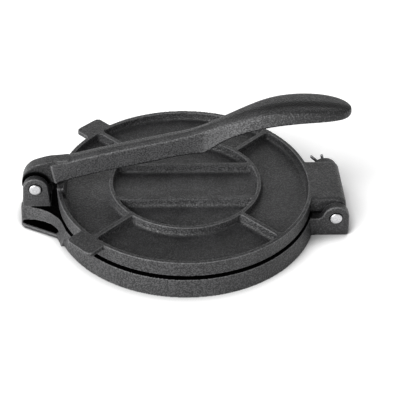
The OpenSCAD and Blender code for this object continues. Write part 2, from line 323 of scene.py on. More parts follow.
def raise_press_face(disc: Piece, disc_r: float, disc_z: float, press_r: float, press_z: float,
                     shoulder_w: float = 1.2 * MM) -> None:
    """Raises the pressing face on one side of a disc, with a sloped shoulder round it.

    Args:
        disc: The disc.
        disc_r: Its radius on that side.
        disc_z: Height of that side.
        press_r: Radius of the pressing face.
        press_z: Height of the pressing face.
        shoulder_w: Width of the shoulder.
    """
    side = math.copysign(1, press_z - disc_z)
    with editing(disc):
        pick_faces(disc, lambda c, n: n.z * side > FACING)
        bpy.ops.mesh.inset(thickness=disc_r - press_r - shoulder_w)
        extrude((0, 0, press_z - disc_z))
        shrink = press_r / (press_r + shoulder_w)
        bpy.ops.transform.resize(value=(shrink, shrink, 1), center_override=(0, 0, press_z))


def apply_modifier(obj: Piece, kind: str, **settings: object) -> None:
    """Adds a modifier with these settings and applies it.

    Args:
        obj: The mesh object.
        kind: Blender's name for the kind of modifier.
        settings: Its settings.
    """
    select_only(obj)
    made = obj.modifiers.new(kind.title(), kind)
    for key, value in settings.items():
        setattr(made, key, value)
    bpy.ops.object.modifier_apply(modifier=made.name)


def combine(target: Piece, others: list[Piece], how: str) -> None:
    """Joins other solids to a solid, cuts them out of it or keeps what they share.

    Args:
        target: The solid that is changed.
        others: The other solids, which are removed.
        how: "UNION", "DIFFERENCE" or "INTERSECT".
    """
    for other in others:
        apply_modifier(target, "BOOLEAN", operation=how, solver="EXACT", object=other)
        bpy.data.objects.remove(other)


def merge_doubles(obj: Piece) -> None:
    """Merges doubled points and turns all faces outwards.

    Args:
        obj: The mesh object.
    """
    with editing(obj, "VERT"):
        bpy.ops.mesh.select_all(action="SELECT")
        bpy.ops.mesh.remove_doubles(threshold=HAIR)
        turn_faces_out()


def smooth_under(obj: Piece, angle: float) -> None:
    """Shades a piece smooth across edges of less than an angle, in degrees."""
    select_only(obj)
    bpy.ops.object.shade_smooth_by_angle(angle=math.radians(angle))


def share(value: float, start: float, end: float) -> float:
    """Gives how far a value is on the way from start to end, between 0 and 1."""
    return min(max((value - start) / (end - start), 0.0), 1.0)


@dataclass(frozen=True)
class Casting:
    """How a sharp solid is turned into a casting with soft edges."""

    grid: float = 0.55 * MM
    smoothing: float = 0.5
    passes: int = 2
    faces: int = 170_000
    crisp_angle: float = 50.0

    def finish(self, obj: Piece, bores: list[Piece]) -> None:
        """Rounds every edge as a sand mould does, drills the bores and records the edges and creases.

        Args:
            obj: A closed solid, or several that overlap.
            bores: Cylinders to cut out of it afterwards, with crisp edges.
        """
        apply_modifier(obj, "REMESH", mode="VOXEL", voxel_size=self.grid)
        apply_modifier(obj, "SMOOTH", factor=self.smoothing, iterations=self.passes)
        triangles = 2 * len(obj.data.polygons)
        if triangles > self.faces:
            apply_modifier(obj, "DECIMATE", ratio=self.faces / triangles)
        combine(obj, bores, "DIFFERENCE")
        smooth_under(obj, self.crisp_angle)
        record_wear(obj)


def record_wear(obj: Piece, full: float = 700.0, passes: int = 2,
                upright_fall: Pair = (1.2, 1.5)) -> None:
    """Stores how far each point stands out on an edge (up to 1) or lies in a hollow (down to -1).

    A second value says how upright the surface is, from 0 to 1.

    Args:
        obj: The mesh object.
        full: Curvature, in 1/m, that counts as a full edge.
        passes: How often the value is averaged with its neighbours'.
        upright_fall: Start and slope of the second value over the normal's share of Z.
    """
    mesh = obj.data
    count = len(mesh.vertices)
    place = np.empty(count * 3, dtype=np.float64)
    normal = np.empty(count * 3, dtype=np.float64)
    ends = np.empty(len(mesh.edges) * 2, dtype=np.int64)
    mesh.vertices.foreach_get("co", place)
    mesh.vertices.foreach_get("normal", normal)
    mesh.edges.foreach_get("vertices", ends)
    place, normal, ends = place.reshape(-1, 3), normal.reshape(-1, 3), ends.reshape(-1, 2)
    a, b = ends[:, 0], ends[:, 1]
    step = place[b] - place[a]
    bend = ((normal[b] - normal[a]) * step).sum(1) / np.maximum((step ** 2).sum(1), MM ** 4)
    degree = np.maximum(np.bincount(a, minlength=count) + np.bincount(b, minlength=count), 1)
    value = (np.bincount(a, bend, count) + np.bincount(b, bend, count)) / degree
    value = np.clip(value / full, -1, 1)
    for _ in range(passes):
        around = np.bincount(a, value[b], count) + np.bincount(b, value[a], count)
        value = (value + around / degree) / 2
    upright = np.clip(upright_fall[0] - upright_fall[1] * np.abs(normal[:, 2]), 0, 1)
    for name, values in (("wear", value), ("upright", upright)):
        layer = mesh.attributes.new(name, "FLOAT", "POINT")
        layer.data.foreach_set("value", values.astype(np.float32))


def record_painted_shade(obj: Piece, painted_shade_at: Callable[[Vector, Vector], float]) -> None:
    """Stores how much painted shade each point of a casting gets, and dims its lightened edges there.

    Args:
        obj: The mesh object.
        painted_shade_at: Takes a point's place and normal and gives its painted shade, from 0 to 1.
            Below 0, the point gets a painted highlight instead.
    """
    layer = obj.data.attributes.new("soot", "FLOAT", "POINT")
    wear = obj.data.attributes["wear"]
    # Above 0 a point gets painted shade, which also dims its lightened edge; below 0 a painted highlight
    for point, soot, point_wear_and_highlight in zip(obj.data.vertices, layer.data, wear.data):
        amount = painted_shade_at(point.co, point.normal)
        soot.value = max(amount, 0.0)
        if amount < 0:
            point_wear_and_highlight.value = max(point_wear_and_highlight.value, -amount)
        elif amount:
            point_wear_and_highlight.value *= 1 - amount


# ---- Finishes ----


class Wiring:
    """Adds and links the nodes of one tree."""

    def __init__(self, tree: bpy.types.NodeTree) -> None:
        """Takes the tree to work in."""
        self.tree = tree

    def node(self, kind: str, **settings: object) -> bpy.types.Node:
        """Adds a node with these settings.

        Args:
            kind: Blender's name for the kind of node.
            settings: Its settings.

        Returns:
            The node.
        """
        made = self.tree.nodes.new(kind)
        for key, value in settings.items():
            setattr(made, key, value)
        return made

    def put(self, value: float | Colour | Socket, target: Socket) -> None:
        """Links a socket to an input, or sets the input to a plain value.

        Args:
            value: An output socket, a number or a colour.
            target: The input.
        """
        if isinstance(value, Socket):
            self.tree.links.new(value, target)
        else:
            target.default_value = (*value, 1) if isinstance(value, tuple) else value

    def noise(self, at: Socket, scale: float | Socket, detail: float, rough: float) -> Socket:
        """Adds a noise pattern.

        Args:
            at: The place that it reads.
            scale: How fine it is, in bumps per metre.
            detail: Number of finer layers.
            rough: Weight of the finer layers.

        Returns:
            Its value.
        """
        made = self.node("ShaderNodeTexNoise")
        for key, value in (("Detail", detail), ("Roughness", rough), ("Vector", at), ("Scale", scale)):
            self.put(value, made.inputs[key])
        return made.outputs["Fac"]

    def math(self, how: str, a: float | Socket, b: float | Socket = 0.0) -> Socket:
        """Adds a Math node and returns its result.

        Args:
            how: What it does.
            a: Its first value.
            b: Its second value.

        Returns:
            The result.
        """
        made = self.node("ShaderNodeMath", operation=how)
        self.put(a, made.inputs[0])
        self.put(b, made.inputs[1])
        return made.outputs[0]

    def ramp(self, value: Socket, span: Pair, result: Pair = (0.0, 1.0)) -> Socket:
        """Maps a span of values smoothly to the span of the result.

        Args:
            value: What is mapped.
            span: The values that it runs between.
            result: What comes out at the two ends of the span.

        Returns:
            The result.
        """
        made = self.node("ShaderNodeMapRange", interpolation_type="SMOOTHSTEP")
        self.put(value, made.inputs["Value"])
        for key, number in zip(("From Min", "From Max", "To Min", "To Max"), (*span, *result)):
            made.inputs[key].default_value = number
        return made.outputs["Result"]

    def blend(self, mask: Socket, a: Colour | Socket, b: Colour | Socket) -> Socket:
        """Mixes two colours by a mask and returns the colour.

        Args:
            mask: How much of the second colour shows.
            a: The first colour.
            b: The second colour.

        Returns:
            The colour.
        """
        made = self.node("ShaderNodeMix", data_type="RGBA")
        for value, k in ((mask, 0), (a, 6), (b, 7)):
            self.put(value, made.inputs[k])
        return made.outputs[2]

    def attribute(self, name: str) -> Socket:
        """Reads a value that is stored on the mesh's points."""
        return self.node("ShaderNodeAttribute", attribute_name=name).outputs["Fac"]

    def openness(self, distance: float, samples: int) -> Socket:
        """Gives how open a place is: 0 where it is shut in within this distance, up to 1.

        Args:
            distance: How far it looks.
            samples: How many rays it sends.

        Returns:
            The openness.
        """
        made = self.node("ShaderNodeAmbientOcclusion", samples=samples)
        made.inputs["Distance"].default_value = distance
        return made.outputs["AO"]

    def relief(self, height: Socket, depth: float, target: Socket) -> None:
        """Gives a shader's Normal a relief of this depth.

        Args:
            height: The height, from 0 to 1.
            depth: What a height of 1 stands for.
            target: The shader's Normal.
        """
        made = self.node("ShaderNodeBump")
        made.inputs["Distance"].default_value = depth
        self.put(height, made.inputs["Height"])
        self.put(made.outputs["Normal"], target)


def blank_finish(name: str) -> tuple[Finish, Wiring, bpy.types.NodeInputs]:
    """Starts a material.

    Args:
        name: Its name.

    Returns:
        The material, the wiring of its tree and the inputs of its shader.
    """
    made = bpy.data.materials.new(name)
    made.use_nodes = True
    return made, Wiring(made.node_tree), made.node_tree.nodes["Principled BSDF"].inputs


def grain_group(swell_share: float = 0.3, cloud_scale: float = 45.0,
                grain_span: Pair = (0.38, 0.68)) -> bpy.types.NodeTree:
    """Builds the grain that sand leaves on a casting.

    Args:
        swell_share: Height of the slow swell against the grains'.
        cloud_scale: How fine the clouds are, in bumps per metre.
        grain_span: Noise values between which a grain rises.

    Returns:
        A group with the inputs Place, Grain and Swell, the last two in bumps per metre. It puts
        out a height, a mask of the grains and a mask of wide clouds.
    """
    tree = bpy.data.node_groups.new("Sand grain", "ShaderNodeTree")
    tree.interface.new_socket(name="Place", in_out="INPUT", socket_type="NodeSocketVector")
    for key, scale in (("Grain", 1500), ("Swell", 260)):
        socket = tree.interface.new_socket(name=key, in_out="INPUT", socket_type="NodeSocketFloat")
        socket.default_value = scale
    for key in ("Height", "Grains", "Clouds"):
        tree.interface.new_socket(name=key, in_out="OUTPUT", socket_type="NodeSocketFloat")
    w = Wiring(tree)
    place, grain, swell = w.node("NodeGroupInput").outputs[:3]
    out = w.node("NodeGroupOutput").inputs
    fine = w.noise(place, grain, 1.5, 0.5)
    slow = w.noise(place, swell, 2, 0.5)
    clouds = w.noise(place, cloud_scale, 4, 0.6)
    w.put(w.math("ADD", fine, w.math("MULTIPLY", slow, swell_share)), out["Height"])
    w.put(w.ramp(fine, grain_span), out["Grains"])
    w.put(w.ramp(clouds, NOISE_SPAN), out["Clouds"])
    return tree


@dataclass(frozen=True)
class SeasonedIron:
    """Matte black seasoned cast iron: edges lightened by use, painted highlights, painted shade.

    Its tone runs from black to grey: the clouds and the grain lighten it, a painted highlight
    lightens upright walls, and it darkens towards the near and far sides and towards the plate's hinge.
    """

    black: Colour = (0.012, 0.012, 0.0125)
    grey: Colour = (0.055, 0.055, 0.0567)
    # Lighter grey of edges lightened by use and of painted highlights
    worn_and_highlit: Colour = (0.1, 0.1, 0.102)
    # Near black of the painted shade in nooks, gaps and shaded places
    soot: Colour = (0.002, 0.002, 0.002)
    shine: float = 0.345
    rough: Pair = (0.52, 0.32)
    grain: float = 1000.0
    grain_depth: float = 0.6 * MM
    # Painted shade in nooks by ambient occlusion: reach, rays, span, and the tone upright walls keep
    nook: float = 3.5 * MM
    nook_samples: int = 8
    nook_span: Pair = (0.3, 0.8)
    nook_walls: float = 0.75
    edge_span: Pair = (0.2, 0.85)
    edge_grain: float = 0.25
    # Painted shade in creases, where the edge attribute is concave
    crease_shade_span: Pair = (-0.8, -0.35)
    crease_shade_share: float = 0.6
    tone: float = 0.38
    tone_span: Pair = (0.0, 1.2)
    tone_clouds: float = 0.35
    tone_grain: float = 0.5
    # Painted highlight on upright walls: stronger grain and a lighter tone
    wall_grain_highlight: float = 0.9
    wall_highlight: float = 0.36
    side_span: Pair = (30 * MM, 75 * MM)
    side_dark: float = 0.24
    hinge_span: Pair = (20 * MM, 105 * MM)
    hinge_dark: float = 0.35
    hinge_wall_dark: float = 0.45

    def material(self, name: str, group: bpy.types.NodeTree) -> Finish:
        """Builds the material.

        Args:
            name: The material's name.
            group: The sand grain group.

        Returns:
            The material.
        """
        made, w, shader = blank_finish(name)
        place = w.node("ShaderNodeTexCoord").outputs["Object"]
        sand = w.node("ShaderNodeGroup", node_tree=group)
        w.put(place, sand.inputs["Place"])
        sand.inputs["Grain"].default_value = self.grain
        wear = w.attribute("wear")
        speckle = w.math("SUBTRACT", sand.outputs["Grains"], 0.5)
        # Edges lightened by use, and the painted highlights stored on the same attribute, take the
        # lighter grey
        edge = w.ramp(w.math("ADD", wear, w.math("MULTIPLY", speckle, self.edge_grain)), self.edge_span)
        # Painted shade in creases, where the edge attribute is concave
        hollow = w.ramp(wear, self.crease_shade_span, (1, 0))
        upright = w.attribute("upright")
        tone = self.toned(w, place, sand.outputs["Clouds"], speckle, upright)
        colour = w.blend(w.ramp(tone, self.tone_span), self.black, self.grey)
        colour = w.blend(hollow, colour, tuple(self.crease_shade_share * c for c in self.black))
        colour = w.blend(edge, colour, self.worn_and_highlit)
        # Painted shade in nooks, found by ambient occlusion; upright walls keep part of their tone
        open_air = w.math("MAXIMUM", w.ramp(w.openness(self.nook, self.nook_samples), self.nook_span),
                          w.math("MULTIPLY", upright, self.nook_walls))
        colour = w.blend(open_air, self.soot, colour)
        # Painted shade and painted shadow from the mesh: black, fully rough and metallic, so it reflects
        # almost nothing
        painted_shade_mask = w.attribute("soot")
        w.put(w.blend(painted_shade_mask, colour, self.soot), shader["Base Color"])
        shader["Specular IOR Level"].default_value = self.shine
        rough = w.ramp(sand.outputs["Grains"], (0, 1), self.rough)
        w.put(w.math("MAXIMUM", rough, painted_shade_mask), shader["Roughness"])
        w.put(painted_shade_mask, shader["Metallic"])
        w.relief(sand.outputs["Height"], self.grain_depth, shader["Normal"])
        return made

    def toned(self, w: Wiring, place: Socket, clouds: Socket, speckle: Socket,
              upright: Socket) -> Socket:
        """Adds up the tone of the iron, with the painted highlight on upright walls.

        Args:
            w: The wiring of its material.
            place: The place on the object.
            clouds: The clouds' mask.
            speckle: The grains' mask, around 0.
            upright: How upright the surface is.

        Returns:
            The tone, mostly between 0 and 1.
        """
        # Painted highlight: the grain shows stronger on upright walls
        grain = w.math("ADD", w.math("MULTIPLY", upright, self.wall_grain_highlight), self.tone_grain)
        split = w.node("ShaderNodeSeparateXYZ")
        w.put(place, split.inputs[0])
        sides = w.ramp(w.math("ABSOLUTE", split.outputs["Y"]), self.side_span, (0, self.side_dark))
        hinge_end = w.ramp(split.outputs["X"], self.hinge_span)
        # Painted highlight: upright walls are lighter, less so towards the hinge
        wall = w.math("SUBTRACT", self.wall_highlight, w.math("MULTIPLY", hinge_end, self.hinge_wall_dark))
        walls = w.math("MULTIPLY", upright, wall)
        darker = w.math("ADD", sides, w.math("MULTIPLY", hinge_end, self.hinge_dark))
        tone = w.math("ADD", w.math("MULTIPLY", clouds, self.tone_clouds),
                      w.math("MULTIPLY", speckle, grain))
        tone = w.math("ADD", tone, w.math("ADD", walls, self.tone))
        return w.math("SUBTRACT", tone, darker)


@dataclass(frozen=True)
class ZincPlate:
    """Bright zinc-plated steel with faint drawing marks."""

    bright: Colour = (0.6, 0.6, 0.61)
    dull: Colour = (0.42, 0.42, 0.43)
    rough: Pair = (0.42, 0.3)
    marks: float = 900.0
    marks_depth: float = 0.03 * MM

    def material(self, name: str) -> Finish:
        """Builds the material.

        Args:
            name: The material's name.

        Returns:
            The material.
        """
        made, w, shader = blank_finish(name)
        shader["Metallic"].default_value = 1
        marks = w.noise(w.node("ShaderNodeTexCoord").outputs["Object"], self.marks, 3, 0.6)
        w.put(w.blend(w.ramp(marks, NOISE_SPAN), self.dull, self.bright), shader["Base Color"])
        w.put(w.ramp(marks, NOISE_SPAN, self.rough), shader["Roughness"])
        w.relief(marks, self.marks_depth, shader["Normal"])
        return made


def dress(obj: Piece, material: Finish, body: Body, node: str) -> Piece:
    """Gives a finished piece its material, its body and the CAD node that it stands for.

    Args:
        obj: The piece.
        material: Its finish.
        body: The body that it rides on.
        node: Name of the CAD node that it replaces.

    Returns:
        The piece.
    """
    obj.data.materials.clear()
    obj.data.materials.append(material)
    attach(obj, body.value)
    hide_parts(node)
    log.info("%s: %d faces on %s", obj.name, len(obj.data.polygons), body.value)
    return obj


# ---- The castings ----


@dataclass(frozen=True)
class PinAxes:
    """Where the two clevis pins run, and how wide the bores for them are."""

    hinge: Pair
    lever: Pair
    bore_r: float = 3.06 * MM
    hidden_bore_r: float = 3.5 * MM
    half_span: float = 60 * MM

    @classmethod
    def from_frame(cls) -> "PinAxes":
        """Takes both places, in X and Z, from the frame's joints.

        Returns:
            The two axes.
        """
        places = {joint["name"]: joint["pos_m"] for joint in frame["joints"]}
        hinge, lever = ((places[name][0], places[name][2]) for name in ("plate_hinge", "lever_swing"))
        return cls(hinge, lever)

    def bore(self, at: Pair, hidden: bool = False) -> Piece:
        """Adds a cutter for a pin's bore, wider where no one sees it."""
        r = self.hidden_bore_r if hidden else self.bore_r
        return roller("bore", r, -self.half_span, self.half_span, *at)


@dataclass
class UpperPlate:
    """The hinged upper plate: a disc with ribbed pockets, finger tabs, a lever pad and a tongue."""

    axes: PinAxes
    casting: Casting = field(default_factory=Casting)
    plate_r: float = 95.8 * MM
    press_r: float = 90.5 * MM
    face_z: float = 16.15 * MM
    lip_z: float = 16.8 * MM
    floor_z: float = 22.35 * MM
    rim_z: float = 28.6 * MM
    rim_w: float = 3.0 * MM
    # Ribs, which widen by the draft down to the floor
    draft: float = 0.8 * MM
    ring_r: float = 57.2 * MM
    ring_w: float = 2.9 * MM
    bar_y: float = 21.0 * MM
    bar_w: float = 3.8 * MM
    spoke_w: float = 3.4 * MM
    # Finger tabs and the lever's pad
    tab_w: float = 24.0 * MM
    tab_reach: float = 108.9 * MM
    tab_t: float = 3.6 * MM
    tab_corner: float = 3.5 * MM
    tab_angle: float = 135.0
    pad_w: float = 24.0 * MM
    pad_l: float = 5.0 * MM
    pad_z: float = 30.4 * MM
    pad_in: float = 0.4 * MM
    pad_sink: float = 0.5 * MM
    # Tongue and barrel at the hinge
    tongue_in: float = 3.0 * MM
    barrel_w: float = 48.8 * MM
    barrel_r: float = 8.2 * MM
    heel_r: float = 6.4 * MM
    cast_r: float = 2.6 * MM
    # Roundings of the pockets
    rim_corner: float = 4.0 * MM
    ring_corner: float = 2.4 * MM
    foot_r: float = 2.2 * MM
    # Painted shade under the plate's edge, and a painted highlight on the ribs' sides
    edge_shade_w: float = 3.0 * MM
    edge_shade_below: float = -0.35
    rub: float = 0.5
    rib_highlight_reach: float = 32.0 * MM
    rib_highlight_foot: float = 0.8 * MM
    rib_highlight_below: Pair = (0.6, 0.8)

    def build(self, material: Finish) -> Piece:
        """Models the casting and puts it on its body.

        Args:
            material: Its finish.

        Returns:
            The finished piece.
        """
        plate = self.disc()
        combine(plate, [self.finger_tab(side) for side in (-1, 1)], "UNION")
        combine(plate, [self.tongue(), self.barrel()], "UNION")
        combine(plate, self.pockets(), "DIFFERENCE")
        combine(plate, [self.lever_pad()], "UNION")
        combine(plate, [self.axes.bore(self.axes.hinge, hidden=True)], "DIFFERENCE")
        merge_doubles(plate)
        self.casting.finish(plate, [])
        record_painted_shade(plate, self.painted_shade_at)
        return dress(plate, material, Body.UPPER, "top_plate")

    def painted_shade_at(self, p: Vector, n: Vector) -> float:
        """Gives painted shade under the plate's edge and a painted highlight on the ribs' sides.

        Args:
            p: The point.
            n: The normal there.

        Returns:
            Its painted shade, or below 0 how strong its painted highlight is.
        """
        # Painted shade under the plate's edge, in the gap over the base
        if n.z < self.edge_shade_below:
            return 1.0 if p.xy.length > self.press_r - self.edge_shade_w else 0.0
        # Painted highlight on the ribs' sides
        rib = (p.xy.length < self.ring_r + self.rib_highlight_reach
               and self.floor_z + self.rib_highlight_foot < p.z < self.rim_z)
        steep, level = self.rib_highlight_below
        return -self.rub * (level - n.z) if rib and n.z < steep else 0.0

    def disc(self) -> Piece:
        """Models the disc with its raised pressing face underneath.

        Returns:
            The disc.
        """
        disc = drum("upper_plate_casting", self.plate_r, self.plate_r, self.lip_z, self.rim_z, ROUND)
        raise_press_face(disc, self.plate_r, self.lip_z, self.press_r, self.face_z)
        return disc

    def finger_tab(self, side: int) -> Piece:
        """Models one finger tab.

        Args:
            side: -1 for the near tab, 1 for the far one.

        Returns:
            The tab.
        """
        tab = block("tab", (self.plate_r - self.rim_w, -self.tab_w / 2, self.rim_z - self.tab_t),
                    (self.tab_reach, self.tab_w / 2, self.rim_z))
        with editing(tab, "EDGE"):
            pick_edges(tab, lambda a, b: abs(a.z - b.z) > MM and a.x > self.plate_r)
            bpy.ops.mesh.bevel(offset=self.tab_corner, segments=6)
        return turn_about_z(tab, "tab", side * math.radians(self.tab_angle))

    def tongue(self) -> Piece:
        """Models the tongue that runs from the disc out over the hinge.

        Returns:
            The tongue.
        """
        start_x, end_x = self.press_r - self.tongue_in, self.axes.hinge[0] + self.barrel_r
        half, heel_z = self.barrel_w / 2, self.rim_z - self.heel_r
        outline = [(start_x, self.lip_z), (end_x, self.lip_z),
                   *arc(end_x - self.heel_r, heel_z, self.heel_r, 0, 90, 8), (start_x, self.rim_z)]
        tongue = slab("tongue", outline, -half, half)
        with editing(tongue, "EDGE"):
            pick_edges(tongue, lambda a, b: abs(a.y - b.y) < HAIR and max(a.x, b.x) > self.plate_r
                       and min(a.z, b.z) > heel_z - HAIR)
            bpy.ops.mesh.bevel(offset=self.cast_r, segments=5, loop_slide=False)
        return tongue

    def barrel(self) -> Piece:
        """Models the barrel round the hinge pin."""
        half = self.barrel_w / 2
        return roller("barrel", self.barrel_r, -half, half, *self.axes.hinge)

    def lever_pad(self) -> Piece:
        """Models the pad that the lever bears on, with its sloped inner side.

        Returns:
            The pad.
        """
        edge_x = self.pad_in - self.plate_r
        pad = block("pad", (edge_x, -self.pad_w / 2, self.floor_z - self.pad_sink),
                    (edge_x + self.pad_l + 2 * self.draft, self.pad_w / 2, self.pad_z))
        with editing(pad, "VERT"):
            pick_edges(pad, lambda a, b: min(a.z, b.z) > self.rim_z and min(a.x, b.x) > edge_x + MM)
            bpy.ops.transform.translate(value=(-2 * self.draft, 0, 0))
        return pad

    def pockets(self) -> list[Piece]:
        """Models the pockets between the ribs, as the solids that are cut out of the disc.

        Returns:
            The pockets.
        """
        top = self.rim_z + 2 * MM
        spread = self.draft * (top - self.floor_z) / (self.rim_z - self.floor_z) - self.draft
        outer, inner = self.plate_r - self.rim_w, self.ring_r - self.ring_w
        sector = drum("pocket", outer - self.draft, outer + spread, self.floor_z, top)
        with editing(sector):
            for is_top in (True, False):
                pick_faces(sector, lambda c, n: abs(n.z) > FACING and (n.z > 0) == is_top)
                grow = spread if is_top else -self.draft
                bpy.ops.mesh.inset(thickness=outer + grow - (self.ring_r - grow))
            pick_faces(sector, lambda c, n: abs(n.z) > FACING and c.xy.length < MM)
            bpy.ops.mesh.bridge_edge_loops()
            turn_faces_out()
        for angle in (135, 45):
            self.slice_off(sector, angle, -self.spoke_w / 2)
        halfway = (outer + self.ring_r) / 2
        self.round_pocket(sector, lambda p: (self.rim_corner if p.xy.length > halfway
                                             else self.ring_corner))
        made = [turn_about_z(sector, "pocket", math.radians(90 * k), keep=k < 3) for k in range(4)]
        near, far = self.bar_y - self.bar_w / 2, self.bar_y + self.bar_w / 2
        for cuts in (((0, near), (180, near)), ((180, -far),), ((0, -far),)):
            piece = drum("pocket", inner - self.draft, inner + spread, self.floor_z, top)
            for angle, offset in cuts:
                self.slice_off(piece, angle, offset)
            self.round_pocket(piece, lambda p: self.ring_corner)
            made.append(piece)
        return made

    def slice_off(self, piece: Piece, angle: float, offset: float) -> None:
        """Cuts off what lies past a rib's side, which leans out so that the rib widens downwards.

        Args:
            piece: The pocket.
            angle: Direction, in degrees from +Y, in which the pocket is cut off.
            offset: How far from the axis the rib's top edge is in that direction.
        """
        turn = math.radians(angle)
        ahead = Vector((-math.sin(turn), math.cos(turn), 0))
        point = ahead * offset
        point.z = self.rim_z
        normal = ahead * (self.rim_z - self.floor_z) - Vector((0, 0, self.draft))
        with editing(piece):
            bpy.ops.mesh.select_all(action="SELECT")
            bpy.ops.mesh.bisect(plane_co=point, plane_no=normal.normalized(), use_fill=True,
                                clear_outer=True)

    def round_pocket(self, piece: Piece, radius: Callable[[Vector], float]) -> None:
        """Rounds a pocket's upright corners and the edge of its floor.

        Args:
            piece: The pocket.
            radius: Gives the corner radius for a place.
        """
        corners = sharp_uprights(piece)
        for r in sorted({radius(p) for p in corners}, reverse=True):
            with editing(piece, "EDGE"):
                pick_edges(piece, lambda a, b: abs(a.z - b.z) > MM and any(
                    ((a + b) / 2 - p).length < 5 * HAIR for p in corners if radius(p) == r))
                bpy.ops.mesh.bevel(offset=r, segments=6, loop_slide=False)
        with editing(piece, "EDGE"):
            pick_edges(piece, lambda a, b: max(a.z, b.z) < self.floor_z + HAIR)
            bpy.ops.mesh.bevel(offset=self.foot_r, segments=4, loop_slide=False)
        merge_doubles(piece)


def sharp_uprights(obj: Piece, least_angle: float = 30.0) -> list[Vector]:
    """Finds the middles of a mesh's upright edges that are sharper than an angle, in degrees.

    Args:
        obj: The mesh object.
        least_angle: The angle, in degrees.

    Returns:
        The middles of those edges.
    """
    bm = bmesh.new()
    bm.from_mesh(obj.data)
    found = [(e.verts[0].co + e.verts[1].co) / 2 for e in bm.edges
             if len(e.link_faces) == 2 and e.calc_face_angle(0) > math.radians(least_angle)
             and abs(e.verts[0].co.z - e.verts[1].co.z) > MM]
    bm.free()
    return found


